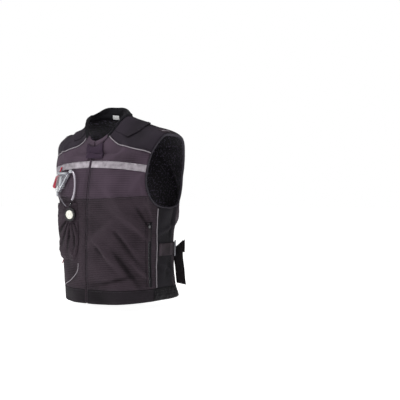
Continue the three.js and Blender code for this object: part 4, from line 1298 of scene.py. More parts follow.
collar, rim = pad("collar_pad", collar_spot, collar_outside, collar_inside)
held = np.clip(1 - rim / 0.004, 0, 1)
swell(collar, np.concatenate([held, held]), cap=0.0022, spare=0.03)
modifier(collar, "SUBSURF", levels=1, render_levels=1)
dress(collar, collar_cloth, "collar_cloth", "collar")
collar.data.materials.append(chest_cloth)
neck_middle = float(size_at("middle", 1.0))
for face in collar.data.polygons:
    away = Vector((face.center.x, face.center.y - neck_middle))
    turn = abs(math.degrees(math.atan2(away.x, -away.y)))
    face.material_index = int(turn < FACING_REACH and away.dot(face.normal.xy) > 0)

tab_spot = rectangle(TAB_PLACE, TAB_WIDTH, TAB_HEIGHT)


def inside_tab(u, w, inset):
    """1 inside the tab, falling to 0 at its edge."""
    edge = np.minimum(np.minimum(u, 1 - u) * TAB_WIDTH, np.minimum(w, 1 - w) * TAB_HEIGHT)
    return 1 - (1 - np.clip(edge / inset, 0, 1)) ** 2


def stand_off(u):
    """The stiff tab keeps flat where the chest turns away from it."""
    return TAB_LIFT * (1 - u) ** 2


def tab_under(u, _):
    return stand_off(u) + TAB_SEAT


def tab_top(u, w):
    quilt = QUILT_HEIGHT * inside_tab(u, w, QUILT_INSET) ** 3
    return tab_under(u, w) + TAB_HEM + (TAB_WALL - TAB_HEM) * inside_tab(u, w, HEM_INSET) + quilt


def flatten(piece, count, share):
    """Draws a stiff pad towards the plane that touches the highest place under it."""
    points = points_of(piece)
    base = points[count:]
    middle = base.mean(axis=0)
    normal = np.linalg.svd(base - middle)[2][2]
    normal = normal if normal[1] < 0 else -normal
    above = (base - middle) @ normal
    lift = (above.max() - above) * share
    set_points(piece, points + normal * np.concatenate([lift, lift])[:, None])


tab, rim = pad("collar_tab_pad", tab_spot, tab_top, tab_under, cell=0.003)
held = np.clip(1 - np.minimum(rim, np.abs(rim - TAB_STITCH)) / 0.0012, 0, 1)
swell(tab, np.concatenate([held, np.ones_like(held)]), cap=0.0012, spare=0.03)
flatten(tab, len(rim), TAB_FLATNESS)
modifier(tab, "SUBSURF", levels=1, render_levels=1)
dress(tab, tab_cloth, "tab_cloth", "collar_tab")


def border(spot, inset_u, inset_w):
    """The four lines of a row of stitches round a small piece."""
    low, high, left, right = inset_w, 1 - inset_w, inset_u, 1 - inset_u
    return (
        lambda t: spot(mix(left, right, t), low + 0 * t),
        lambda t: spot(mix(left, right, t), high + 0 * t),
        up_line(spot, left, low, high),
        up_line(spot, right, low, high),
    )


tab_border = border(tab_spot, TAB_STITCH / TAB_WIDTH, TAB_STITCH / TAB_HEIGHT)
tab_stitches = stitch_rows("tab_stitches", tab_border, TAB_SEAT + TAB_WALL, "tab_cloth")
modifier(tab_stitches, "SHRINKWRAP", target=tab, wrap_method="NEAREST_SURFACEPOINT", offset=0.0002,
         wrap_mode="ABOVE_SURFACE")

label_spot = rectangle(LABEL_PLACE, LABEL_WIDTH, LABEL_HEIGHT)
label = lay("label_patch", label_spot, out=-COLLAR_WALL - LABEL_GAP, wall=0.0008, cell=0.002,
            roll=0, pucker=0.0002, edges=False)
dress(label, label_cloth, "label_cloth", "neck_label")
print("collar points", len(collar.data.vertices))

# %% [markdown]
# Inside, one black spacer mesh lines the whole vest, a few millimetres in from the shell. It follows
# the shell's own panels, moved inward and merged, so that both armholes are left open in the same place.

# %% Lining
LINING_DEPTH = 0.0062
LINING_FOOT = 0.012


def lining_spots():
    yield "foot", patch(
        line((0, LINING_FOOT), (360, LINING_FOOT)), line((0, HEM_LEVEL), (360, HEM_LEVEL)),
        line((0, LINING_FOOT), (0, HEM_LEVEL)), line((360, LINING_FOOT), (360, HEM_LEVEL)),
    )
    for panel in ("lower", "chest", "side", "yoke"):
        for side_name, _, turned_side in SIDES:
            yield f"{panel}_{side_name}", turned_side(SPOTS[panel])
    yield "back", SPOTS["back"]
    yield "back_yoke", SPOTS["back_yoke"]


sheets = [lay(f"lining_{name}", spot, out=-LINING_DEPTH, wall=0.0010, cell=0.009, **PLAIN)
          for name, spot in lining_spots()]
lining = joined("lining_sheet", sheets)
dress(lining, lining_cloth, "lining_mesh", "lining")
print("lining points", len(lining.data.vertices))

# %% [markdown]
# Each armhole is bound with a folded tape that wraps the shell and the lining. It starts as a torus,
# whose rings are set round the armhole. A row of stitches holds the tape down.

# %% Armhole bindings
BINDING_STAND = 0.0016
BINDING_DEPTH = 0.0066
BINDING_RINGS = 150
BINDING_SIDES = 18


def add_binding(side_name, side):
    bpy.ops.mesh.primitive_torus_add(major_segments=BINDING_RINGS, minor_segments=BINDING_SIDES)
    piece = bpy.context.active_object
    piece.name = piece.data.name = f"binding_{side_name}"
    ring, point = np.divmod(np.arange(BINDING_RINGS * BINDING_SIDES), BINDING_SIDES)
    turn = point / BINDING_SIDES * 2 * np.pi
    half, middle = (BINDING_STAND + BINDING_DEPTH) / 2, (BINDING_STAND - BINDING_DEPTH) / 2
    grow = BINDING_WIDTH / 2 + 0.0003 + (BINDING_WIDTH / 2) * power(np.cos(turn), 0.7)
    out = middle + half * power(np.sin(turn), 0.7) + 0.0001 * np.sin(ring * 1.7)
    degrees, level = armhole(ring / BINDING_RINGS * 360, grow)
    set_points(piece, place(side * degrees, level, out))
    bpy.ops.object.mode_set(mode="EDIT")
    bpy.ops.mesh.select_all(action="SELECT")
    bpy.ops.mesh.normals_make_consistent(inside=False)
    bpy.ops.object.mode_set(mode="OBJECT")
    set_cloth_map(piece, np.stack([turn * 0.0025, ring * 0.0042], axis=-1))
    dress(piece, binding, "binding_tape", f"armhole_binding_{side_name}")
    route = flipped(lambda share: armhole(360 * share, BINDING_WIDTH * 0.78), side)
    stitch_rows(f"binding_stitches_{side_name}", [route], BINDING_STAND - 0.0002, "binding_tape",
                pitch=COARSE_PITCH)


for side_name, side, _ in SIDES:
    add_binding(side_name, side)
print("binding rings", BINDING_RINGS)

# %% [markdown]
# The hem is a plain doubled band at the front and back. At each side an elastic gathers it: narrow
# ridges bulge between rows of stitching that run round the body.

# %% Hem bands and elastic
ELASTIC_FROM, ELASTIC_TO = 82, 112
TUCK = 0.9
BAND_TO = ELASTIC_FROM + TUCK
GATHERS = 7
GATHER_HEIGHT = 0.0024
CHANNELS = 3


def level_band(start, end, low=0.0, high=HEM_LEVEL):
    return patch(line((start, low), (end, low)), line((start, high), (end, high)),
                 line((start, low), (start, high)), line((end, low), (end, high)))


hem_front = patch(
    line(beside_zip(0, 1)(0.0), (BAND_TO, 0)),
    line(front_foot, (BAND_TO, HEM_LEVEL)),
    beside_zip(0, HEM_LEVEL),
    line((BAND_TO, 0), (BAND_TO, HEM_LEVEL)),
)
elastic_band = level_band(ELASTIC_FROM, ELASTIC_TO)


def gathered(u, w):
    """Ridges of the gathered elastic, pinched along each channel stitch."""
    wander = 0.25 * np.sin(5 * w + 9 * u)
    ridge = (1 - np.cos((u * GATHERS + wander) * 2 * np.pi)) / 2
    fine = (1 - np.cos((u * GATHERS * 2.0 + wander * 1.5 + 0.4) * 2 * np.pi)) / 2
    swelling = np.sin(np.pi * np.clip(w, 0, 1)) ** 0.6
    pinch = sum(np.exp(-(((w - (k + 1) / (CHANNELS + 1)) / 0.035) ** 2)) for k in range(CHANNELS))
    return GATHER_HEIGHT * swelling * (0.9 + 0.9 * ridge + 0.35 * fine - 0.5 * pinch * (0.4 + ridge))


for side_name, side, turned_side in SIDES:
    piece = lay(f"hem_front_{side_name}", turned_side(hem_front), out=0.0002, wall=0.0024)
    dress(piece, hem_cloth, "hem_cloth", f"hem_band_front_{side_name}")
    # crest_gain paints the elastic's ridges lighter and its pinched grooves darker: painted highlight and
    # painted shade.
    piece = lay(f"hem_gather_{side_name}", turned_side(elastic_band), wall=0.0024, cell=0.0016, lift=gathered,
                crest_gain=3.0)
    dress(piece, elastic, "hem_elastic", f"hem_elastic_{side_name}")
back_band = level_band(ELASTIC_TO - TUCK, 360 - ELASTIC_TO + TUCK)
dress(lay("hem_back", back_band, out=0.0002, wall=0.0024), hem_cloth, "hem_cloth", "hem_band_back")
print("gathers", GATHERS)

# %% [markdown]
# The front zip lies in the slit between the two halves. Its tape is one narrow strip, and its teeth are
# one small block, copied up both rows and interlocked. A lip of cloth covers each row, and beside them
# a fine cord marks the edge of the placket.

# %% Front zip
ZIP_LOW, ZIP_HIGH = 0.004, 0.93
ZIP_SINK = 0.0008
TOOTH_PITCH = 0.0030


def zip_teeth(name, route, out, pitch=TOOTH_PITCH, shift=0.0008):
    """Two interlocked rows of teeth along a line."""
    tooth = block(f"{name}_tooth", (pitch * 0.42, 0.0026, 0.0016), bevel=0.0003)
    centres, bases = line_frames(route, pitch / 2, out)
    turn = np.where(np.arange(len(centres)) % 2 == 0, 1.0, -1.0)
    centres = centres + bases[:, :, 1] * (turn * shift)[:, None]
    return copies(name, tooth, [(centres, bases)])


def zip_tape_spot(u, w):
    level = mix(ZIP_LOW, ZIP_HIGH, w)
    return (2 * u - 1) * beside_middle(ZIP_WIDTH / 2, level), level


zip_strip = lay("zip_strip", zip_tape_spot, out=-ZIP_SINK - 0.0006, wall=0.0010, cell=0.004, **PLAIN)
dress(zip_strip, zip_cloth, "zip_tape", "front_zip")
teeth = zip_teeth("front_teeth", line((0, ZIP_LOW), (0, ZIP_HIGH)), -ZIP_SINK + 0.0003)
dress(teeth, dark_plastic, "zip_tape")
LIP_REACH = (0.0007, 0.0034)
LIPS = (
    # panel, cloth, slot, from level, to level
    ("lower", lower_cloth, "body_mesh", ZIP_LOW, CHEST_FRONT),
    ("chest", chest_cloth, "chest_cloth", CHEST_FRONT, 0.92),
)
PLACKET_REACH, PLACKET_LEVELS = 0.0046, (0.01, 0.80)


def lip_spot(side, low, high):
    def at(u, w):
        level = mix(low, high, w)
        return side * beside_middle(mix(*LIP_REACH, u), level), level

    return at


for side_name, side, _ in SIDES:
    for part, cloth, slot, low, high in LIPS:
        lip = lay(f"zip_lip_{part}_{side_name}", lip_spot(side, low, high), out=0.0010, wall=0.0012,
                  cell=0.003, roll=0.0004, pucker=0.0003, edges=False)
        dress(lip, cloth, slot)
levels = np.linspace(*PLACKET_LEVELS, 60)
placket_edge = tube("placket_edge", place(beside_middle(PLACKET_REACH, levels), levels, 0.0005), 0.0006)
dress(placket_edge, thread_dark, "chest_cloth")

# %% [markdown]
# The reflective stripe crosses the chest in two halves, each a thin tape laid on the cloth with a row
# of stitches near its upper and lower edge.

# %% Reflective stripe
STRIPE_HEIGHT = 0.022
STRIPE_OUT = 0.0021
STRIPE_STITCH = 0.0022
STRIPE_LEVEL = 0.72
stripe_start = float(beside_middle(ZIP_WIDTH / 2, STRIPE_LEVEL)) + 0.15
stripe_top = curve([(stripe_start, STRIPE_LEVEL), (24, 0.711), (40, 0.702), (55.2, 0.694)])


def stripe_bottom(share):
    degrees, level = stripe_top(share)
    return travel(degrees, level, 0, -STRIPE_HEIGHT)


stripe_spot = patch(stripe_bottom, stripe_top, line(stripe_bottom(0.0), stripe_top(0.0)),
                    line(stripe_bottom(1.0), stripe_top(1.0)))
for side_name, side, turned_side in SIDES:
    piece = lay(f"stripe_{side_name}", turned_side(stripe_spot), out=STRIPE_OUT, wall=0.0014, cell=0.0035,
                roll=0.0006, pucker=0.0004)
    dress(piece, stripe_cloth, "reflective_tape", f"reflective_stripe_{side_name}")
    insets = (STRIPE_STITCH, STRIPE_HEIGHT - STRIPE_STITCH)
    routes = [flipped(shifted(stripe_top, -inset), side) for inset in insets]
    stitch_rows(f"stripe_stitches_{side_name}", routes, STRIPE_OUT + 0.0001, "reflective_tape", thread_light)
print("stripe starts", round(stripe_start, 2), "degrees from the zip")

# %% [markdown]
# Thin piping marks the yoke and side seams and the slash pocket at the wearer's right hip. Real piping
# is a cord in a folded tape whose edges are sewn into the seam. Only its round side shows, so a tube
# along the seam is enough.

# %% Piping
PIPING_RADIUS = 0.0016
PIPING_OUT = 0.0001
PIPING_RUNS = (
    # seam, line, points
    ("yoke", trimmed(yoke_seam, 0.01, 0.99), 26),
    ("side", trimmed(side_edge, 0.01, 0.98), 34),
)
HIP_ROUTE = ((-6.8, 0.208), (-7.6, 0.177), (-12.5, 0.143), (-22.5, 0.108), (-35, 0.087))


def piped(name, route, radius, count, node):
    share = np.linspace(0, 1, count)
    degrees, level = (np.broadcast_to(value, share.shape) for value in route(share))
    piece = tube(name, place(degrees, level, PIPING_OUT + radius), radius, sides=3, smooth=6)
    return dress(piece, piping, "piping_cord", node)


for side_name, side, _ in SIDES:
    for seam, route, count in PIPING_RUNS:
        name, node = f"{seam}_piping_{side_name}", f"piping_{seam}_{side_name}"
        piped(name, flipped(route, side), PIPING_RADIUS, count, node)
piped("hip_pocket_piping", curve(HIP_ROUTE), PIPING_RADIUS * 0.8, 24, "hip_piping")
print("piping radius", PIPING_RADIUS)

# %% [markdown]
# A broad flap covers each shoulder seam by the collar, and stands a little off the yoke so that it
# throws a shadow. A small tab with a light line sits at the shoulder's tip.

# %% Shoulder flaps and tabs
FLAP_WIDTH = 0.052
FLAP_FRONT, FLAP_BACK, FLAP_TOP, FLAP_BACK_FOOT = 47, 122, 0.992, 0.94
flap_start = float(travel(44, FLAP_TOP, 0, -FLAP_WIDTH)[1])
flap_edge = curve([
    (FLAP_FRONT, flap_start), (62, 0.9), (82, 0.91), (103, 0.928), (FLAP_BACK, FLAP_BACK_FOOT),
])
flap_spot = patch(
    flap_edge,
    line((FLAP_FRONT, FLAP_TOP), (FLAP_BACK, FLAP_TOP)),
    line((FLAP_FRONT, flap_start), (FLAP_FRONT, FLAP_TOP)),
    line((FLAP_BACK, FLAP_BACK_FOOT), (FLAP_BACK, FLAP_TOP)),
)
tip_level = float(travel(RIDGE - 4, 0.83, 0, 0.015)[1])
shoulder_tab_spot = rectangle((RIDGE - 4, tip_level), 0.044, 0.030)
line_spot = rectangle((RIDGE - 6, tip_level - 0.004), 0.030, 0.0035)
FLAP_SEAT, TAB_OUT = 0.0024, 0.0026
for side_name, side, turned_side in SIDES:
    flap = lay(f"flap_{side_name}", turned_side(flap_spot), out=FLAP_SEAT, wall=0.0016, cell=0.004,
               lift=lambda u, w: 0.0022 * (1 - w) ** 2 + 0.0006 * np.sin(9 * u + 2) * (1 - w))
    dress(flap, yoke_cloth, "shoulder_cloth", f"shoulder_flap_{side_name}")
    route = flipped(trimmed(shifted(flap_edge, 0.004), 0.03, 0.97), side)
    stitch_rows(f"flap_stitches_{side_name}", [route], FLAP_SEAT + 0.0020, "shoulder_cloth")
    tip = lay(f"tip_tab_{side_name}", turned_side(shoulder_tab_spot), out=TAB_OUT, wall=0.0016, cell=0.003)
    dress(tip, webbing, "webbing", f"shoulder_tab_{side_name}")
    light_line = lay(f"tip_line_{side_name}", turned_side(line_spot), out=TAB_OUT + 0.0006, wall=0.0006,
                     cell=0.002, **PLAIN)
    dress(light_line, stripe_cloth, "reflective_tape")
print("flap starts at level", round(flap_start, 3))

# %% [markdown]
# At each side a webbing strap runs back from the side seam to a three-bar buckle, where a short anchor
# strap meets it from behind. The strap's free end turns round the last bar, is folded over at an angle
# and hangs down. The folded end is a strip whose top is cut on the slant, with the turn behind it. The
# slanting top stands 26 mm above the buckle's middle at one edge and 2 mm below it at the other, so
# it rises 12 mm on average.

# %% Side adjusters
STRAP_START = (87, 0.284)
STRAP_LENGTH, STRAP_HEIGHT, STRAP_WALL = 0.096, 0.040, 0.002
ANCHOR_LENGTH = 0.034
PIECE_GAP = 0.0006
STRAP_OUT = 0.0009 + STRAP_WALL
BUCKLE_WIDTH, BUCKLE_HEIGHT, BUCKLE_BAR, BUCKLE_DEPTH = 0.030, 0.050, 0.005, 0.006
TAIL_WIDTH, TAIL_LENGTH, TAIL_TURN, TAIL_OUT, TAIL_LEAN = 0.038, 0.118, 55, 0.013, 0.011
TAIL_RISE, TAIL_CELLS = 0.012, (12, 44)
BAND_REACH, BAND_PLACES = 0.05, (0.10, 0.62)


def along_strap(distance, length):
    """The patch of a strap of some length, centred so far behind the side seam."""
    centre = travel(*STRAP_START, distance, 0)
    return rectangle(tuple(map(float, centre)), length, STRAP_HEIGHT)


strap_spot = along_strap(STRAP_LENGTH / 2, STRAP_LENGTH)
anchor_spot = along_strap(STRAP_LENGTH + 2 * PIECE_GAP + ANCHOR_LENGTH / 2, ANCHOR_LENGTH)


def strap_bands(u, w):
    """Two doubled bands across the strap, where its end is sewn down and where a keeper holds it."""
    bands = sum(np.clip(1 - ((u - at) / BAND_REACH) ** 4, 0, 1) for at in BAND_PLACES)
    return 0.0014 * bands * np.ones_like(w) + 0.0006 * np.sin(7 * u + 1) * np.sin(np.pi * w)


def buckle_at(side_name, side):
    """A flat frame with three bars: a grid without its two slots, given depth and round edges."""
    bpy.ops.mesh.primitive_grid_add(x_subdivisions=5, y_subdivisions=3, size=1)
    piece = bpy.context.active_object
    piece.name = piece.data.name = f"buckle_{side_name}"
    slot_width = (BUCKLE_WIDTH - 3 * BUCKLE_BAR) / 2
    half = BUCKLE_BAR / 2
    columns = [-BUCKLE_WIDTH / 2, -half - slot_width, -half, half, half + slot_width, BUCKLE_WIDTH / 2]
    top = BUCKLE_HEIGHT / 2
    rows = [-top, BUCKLE_BAR - top, top - BUCKLE_BAR, top]
    for vertex in piece.data.vertices:
        i, j = round((vertex.co.x + 0.5) * 5), round((vertex.co.y + 0.5) * 3)
        vertex.co = (columns[i], rows[j], 0)
    bpy.ops.object.mode_set(mode="EDIT")
    bpy.ops.mesh.select_all(action="DESELECT")
    bpy.ops.object.mode_set(mode="OBJECT")
    for face in piece.data.polygons:
        x, y, _ = face.center
        face.select = abs(y) < 0.001 and abs(abs(x) - half - slot_width / 2) < 0.001
    bpy.ops.object.mode_set(mode="EDIT")
    bpy.ops.mesh.delete(type="FACE")
    bpy.ops.object.mode_set(mode="OBJECT")
    modifier(piece, "SOLIDIFY", thickness=BUCKLE_DEPTH * 0.72, offset=1)
    soften(piece, 0.0012, 3, 40)
    spot = travel(*STRAP_START, STRAP_LENGTH + PIECE_GAP, 0)
    matrix = seat(side * spot[0], spot[1], STRAP_OUT + PIECE_GAP + 0.0004)
    settle(piece, matrix)
    dress(piece, buckle_plastic, "buckle_plastic", f"side_buckle_{side_name}")
    return matrix


def folded_tail(side_name, side, matrix):
    """The strap's free end: the hanging strip and the turn behind its slanting top."""
    normal = (matrix.to_3x3() @ Vector((0, 0, 1))) * Vector((1, 1, 0))
    back = (matrix.to_3x3() @ Vector((side, 0, 0))) * Vector((1, 1, 0))
    normal.normalize()
    back.normalize()
    turn = math.radians(TAIL_TURN)
    clearance = (PIECE_GAP + STRAP_WALL / 2) / math.sin(turn)
    behind = BUCKLE_WIDTH / 2 + clearance - (TAIL_OUT - BUCKLE_DEPTH) / math.tan(turn)
    top = matrix.translation + back * behind + normal * TAIL_OUT
    across = Matrix.Rotation(side * turn, 3, "Z") @ back
    facing = Vector((0, 0, 1)).cross(across) * side
    strips = (
        # name, outer and inner edge, foot, top at the outer and inner edge, distance behind
        ("tail", -0.5, 0.5, -TAIL_LENGTH, 0.026, -0.002, 0.0),
        ("tail_turn", -0.64, 0.30, -0.014, 0.028, 0.004, 0.0028),
    )
    parts = []
    for name, outer, inner, foot, top_outer, top_inner, depth in strips:
        piece, i, j = new_grid(f"{name}_{side_name}", *TAIL_CELLS)
        u, w = i / TAIL_CELLS[0], j / TAIL_CELLS[1]
        reach = mix(outer, inner, u) * TAIL_WIDTH
        ceiling = mix(top_outer, top_inner, u)
        slant = 0.004 * (u - 0.5) * (1 - w) if name == "tail" else 0
        height = mix(foot, ceiling, w) + slant
        hang = np.clip(-height / TAIL_LENGTH, 0, 1)
        curl = 0.0016 * np.sin(2.6 * np.pi * hang) + 0.0012 * (2 * u - 1) ** 2
        lean = TAIL_LEAN * hang ** 2
        shares = ((reach, across), (height, (0, 0, 1.0)), (curl - depth, facing), (lean, normal))
        points = np.array(top) + sum(amount[:, None] * np.array(way) for amount, way in shares)
        set_points(piece, points)
        set_cloth_map(piece, np.stack([reach, height], axis=-1))
        modifier(piece, "SOLIDIFY", thickness=STRAP_WALL * 0.8, offset=0)
        soften(piece, 0.0004, 2, 60)
        parts.append(piece)
    return parts


for side_name, side, turned_side in SIDES:
    # crest_gain paints the raised bands of the strap lighter: a painted highlight.
    strap = lay(f"strap_{side_name}", turned_side(strap_spot), out=STRAP_OUT, wall=STRAP_WALL, cell=0.004,
                roll=0.0005, pucker=0.0003, lift=strap_bands, crest_gain=4.0)
    dress(strap, webbing, "webbing", f"side_strap_{side_name}")
    anchor = lay(f"anchor_{side_name}", turned_side(anchor_spot), out=STRAP_OUT, wall=STRAP_WALL, cell=0.004,
                 roll=0.0005, pucker=0.0003)
    dress(anchor, webbing, "webbing", f"strap_anchor_{side_name}")
    matrix = buckle_at(side_name, side)
    tail, tail_turn = folded_tail(side_name, side, matrix)
    dress(tail, webbing_in_painted_shade, "webbing", f"strap_tail_{side_name}")
    dress(tail_turn, webbing_in_painted_shade, "webbing")
    bar_route = rectangle(STRAP_START, 0.010, STRAP_HEIGHT * 0.86)
    routes = [flipped(up_line(bar_route, share), side) for share in (0.72, 1.25)]
    stitch_rows(f"strap_stitches_{side_name}", routes, STRAP_OUT + 0.0002, "webbing", pitch=FINE_PITCH)
print("tail", TAIL_WIDTH, "x", TAIL_LENGTH)

# %% [markdown]
# The zip pocket at the wearer's left hip is framed by two rolled welts, and its slider has a webbing
# pull. The welts are strips laid proud of the cloth, rounded across.

# %% Hip zip pocket
HIP_TOP = (70.5, 0.433)
HIP_TURN = 5.4
HIP_LENGTH, HIP_WIDTH, HIP_WELT = 0.205, 0.009, 0.006
PULLER_LENGTH, PULLER_WIDTH, PULLER_TOP = 0.044, 0.009, 0.93
WELT_STITCH = 0.0022


def hip_strip(start, end):
    def at(u, w):
        middle = travel(HIP_TOP[0] + HIP_TURN * (1 - w), HIP_TOP[1], 0, (w - 1) * HIP_LENGTH)
        return travel(*middle, mix(start, end, u), 0)

    return at


tape_spot = hip_strip(-HIP_WIDTH / 2, HIP_WIDTH / 2)
hip_tape = lay("hip_zip_tape", tape_spot, out=0.0009, wall=0.0008, cell=0.003, **PLAIN)
dress(hip_tape, zip_cloth, "zip_tape", "hip_zip")
hip_centre = hip_strip(0, 0)
hip_teeth = zip_teeth("hip_teeth", up_line(hip_centre, 0, 0.01, 0.99), 0.0016)
dress(hip_teeth, dark_plastic, "zip_tape")
for name, turn in (("front", -1), ("rear", 1)):
    near, far = turn * (HIP_WIDTH * 0.13), turn * (HIP_WIDTH / 2 + PIECE_GAP + HIP_WELT)
    welt_spot = hip_strip(min(near, far), max(near, far))
    welt = lay(f"welt_{name}", welt_spot, out=0.0012, wall=0.0012, cell=0.0025, roll=0.0008,
               pucker=0.0002, lift=lambda u, w: 0.0022 * np.sin(np.pi * u) ** 0.7)
    dress(welt, side_cloth if name == "rear" else lower_cloth, "chest_cloth", f"hip_welt_{name}")
    route = hip_strip(far + turn * WELT_STITCH, far + turn * WELT_STITCH)
    stitch_rows(f"welt_stitches_{name}", [up_line(route, 0)], 0.0, "body_mesh")
puller_across = hip_strip(-PULLER_WIDTH / 2, PULLER_WIDTH / 2)


def puller_spot(u, w):
    return puller_across(u, PULLER_TOP - (1 - w) * PULLER_LENGTH / HIP_LENGTH)


puller = lay("hip_pull_tape", puller_spot, out=0.0058, wall=0.0016, cell=0.002, roll=0.0003, pucker=0,
             edges=False)
dress(puller, webbing, "webbing", "hip_puller")
slider_place = hip_centre(0.5, PULLER_TOP + 0.012)
slider = block("hip_slider", (0.0066, 0.0105, 0.0034), bevel=0.0009)
settle(slider, seat(*slider_place, 0.0032))
dress(slider, dark_plastic, "zip_tape")
print("hip zip", HIP_LENGTH)

# %% [markdown]
# A padded pocket below the inflator holds the release disc. The disc pulls the cloth into pleats, so
# valleys that fan out below it are modelled, and the simulation fills the pad and adds the small
# wrinkles between them. Under the disc, which is turned towards the zip, the pad is wedged.

# %% Inflator pocket
STRIPE_OVER_INFLATOR = (-26.5, 0.711)
INFLATOR_WIDTH, INFLATOR_FOOT, INFLATOR_HEIGHT, INFLATOR_DEPTH = 0.068, 0.024, 0.064, 0.013
INFLATOR_DROP = 0.008
POCKET_WIDTH, POCKET_HEIGHT, POCKET_DEPTH = 0.130, 0.182, 0.015
DISC_RADIUS, DISC_DEPTH, BEZEL_RADIUS, BEZEL_DEPTH = 0.016, 0.004, 0.021, 0.003
inflator_seat = travel(*STRIPE_OVER_INFLATOR, 0, -STRIPE_HEIGHT - INFLATOR_HEIGHT / 2 - INFLATOR_DROP)


def from_inflator(along, up):
    return travel(*inflator_seat, along, up)


DISC_ALONG, DISC_DOWN, DISC_TILT = 0.0434, 0.035, 14
POCKET_PLACE = (0.003, -INFLATOR_HEIGHT / 2 - POCKET_HEIGHT / 2 - 0.040)
DISC_PLACE = (POCKET_PLACE[0] + DISC_ALONG, POCKET_PLACE[1] + POCKET_HEIGHT / 2 - DISC_DOWN)
DISC_U = 0.5 + DISC_ALONG / POCKET_WIDTH
DISC_W = 1 - DISC_DOWN / POCKET_HEIGHT
pocket_centre = from_inflator(*POCKET_PLACE)
POCKET_SEAT = 0.0008
WEDGE_REACH = 0.030
PLEAT_HEIGHT = -0.0055
PLEATS = (
    # radians from straight below the disc, spread
    (-0.85, 0.11), (-0.50, 0.08), (-0.18, 0.06), (0.08, 0.06), (0.33, 0.07),
)


def pocket_spot(u, w):
    foot = 1 - (1 - np.minimum(1, w * 2.4)) ** 4
    narrow = mix(0.62, 1, foot)
    return travel(*pocket_centre, (u - 0.5) * POCKET_WIDTH * narrow, (w - 0.5) * POCKET_HEIGHT)


def from_disc(u, w):
    """Metres along and up from the disc's middle."""
    return (u - DISC_U) * POCKET_WIDTH, (w - DISC_W) * POCKET_HEIGHT


def pleats(u, w):
    """Valleys that fan out from the disc, deepest a little below it."""
    x, y = from_disc(u, w)
    reach = np.hypot(x, y)
    angle = np.arctan2(x, -y)
    fan = sum(np.exp(-(((angle - turn) / spread) ** 2)) for turn, spread in PLEATS) - 0.3
    fade = np.exp(-((reach - 0.050) / 0.055) ** 2) * np.clip((reach - 0.018) / 0.008, 0, 1)
    edge = np.clip(np.minimum(u, 1 - u) * POCKET_WIDTH / 0.012, 0, 1)
    return PLEAT_HEIGHT * fan * fade * edge * (y < 0.0)


def pocket_top(u, w):
    across = 1 - np.abs(2 * u - 1) ** 6
    up = (1 - (1 - np.minimum(1, w * 5)) ** 3) * (1 - 0.55 * np.maximum(0, w - 0.55) / 0.45)
    tube_ridge = 0.0022 * np.exp(-(((u - 0.30) / 0.13) ** 2)) * np.sin(np.pi * w)
    seam = -0.0012 * np.exp(-(((u - 0.60) / 0.018) ** 2)) * np.clip(1.15 - w, 0, 1)
    x, y = from_disc(u, w)
    wedge = -x * math.tan(math.radians(DISC_TILT)) * np.exp(-((x * x + y * y) / WEDGE_REACH ** 2))
    swollen = POCKET_SEAT + 0.0018 + (POCKET_DEPTH - 0.0048) * across * up
    return swollen + tube_ridge + seam + wedge + pleats(u, w)


# The pleat valleys are also painted darker through the crest value: painted shade.
pocket, rim = pad("pocket_pad", pocket_spot, pocket_top, lambda u, w: POCKET_SEAT + 0 * u, cell=0.0024,
                  crest=lambda u, w: 3 * pleats(u, w))
disc_middle = np.array(seat(*from_inflator(*DISC_PLACE), POCKET_DEPTH).translation)
to_disc = length(points_of(pocket)[:len(rim)] - disc_middle)
near_disc = np.clip(1 - (to_disc - BEZEL_RADIUS) / 0.008, 0, 1)
held = np.maximum(np.clip(1 - rim / 0.006, 0, 1), near_disc)
swell(pocket, np.concatenate([held, np.ones_like(held)]), pressure=3.0, cap=0.0028, spare=0.05)
dress(pocket, lower_cloth, "body_mesh", "inflator_pocket")
pocket_sides = [up_line(pocket_spot, share, 0.10, 0.985) for share in (0.035, 0.965)]
stitch_rows("pocket_stitches", pocket_sides, 0.0026, "body_mesh", pitch=COARSE_PITCH)
print("disc's place in the pocket", round(DISC_U, 3), round(DISC_W, 3))

# %% [markdown]
# The inflator is a clear housing over a lever and a needle, with a red gas bottle beside it. The
# housing starts as a flat outline, which is extruded and rounded. Its working parts show
# through: a pale top bar, a dark window, a slanting bright rod and a spring.

# %% Inflator
CARTRIDGE_RADIUS, CARTRIDGE_LENGTH, CARTRIDGE_OUT = 0.007, 0.046, 0.0028
CARTRIDGE_TURN, CARTRIDGE_TILT = -16, 13
FITTING_RADIUS, FITTING_LENGTH, FITTING_TURN = 0.0055, 0.012, 8
cartridge_lean = CARTRIDGE_LENGTH / 2 * math.sin(math.radians(-CARTRIDGE_TURN))
cartridge_seat = from_inflator(-INFLATOR_WIDTH / 2 - CARTRIDGE_RADIUS - cartridge_lean - PIECE_GAP, 0.0014)
FITTING_PLACE = (INFLATOR_WIDTH / 2 + FITTING_LENGTH / 2 + 0.0026, INFLATOR_HEIGHT / 2 + 0.001)
fitting_seat = from_inflator(*FITTING_PLACE)


def housing_outline():
    half, tall = INFLATOR_WIDTH / 2, INFLATOR_HEIGHT / 2
    foot = INFLATOR_FOOT - half
    return (
        (-half, -tall * 0.8), (-half * 0.86, -tall), (foot * 0.9, -tall), (foot, -tall * 0.9),
        (half, tall * 0.6), (half, tall * 0.88), (half * 0.86, tall), (-half * 0.8, tall),
        (-half, tall * 0.8),
    )


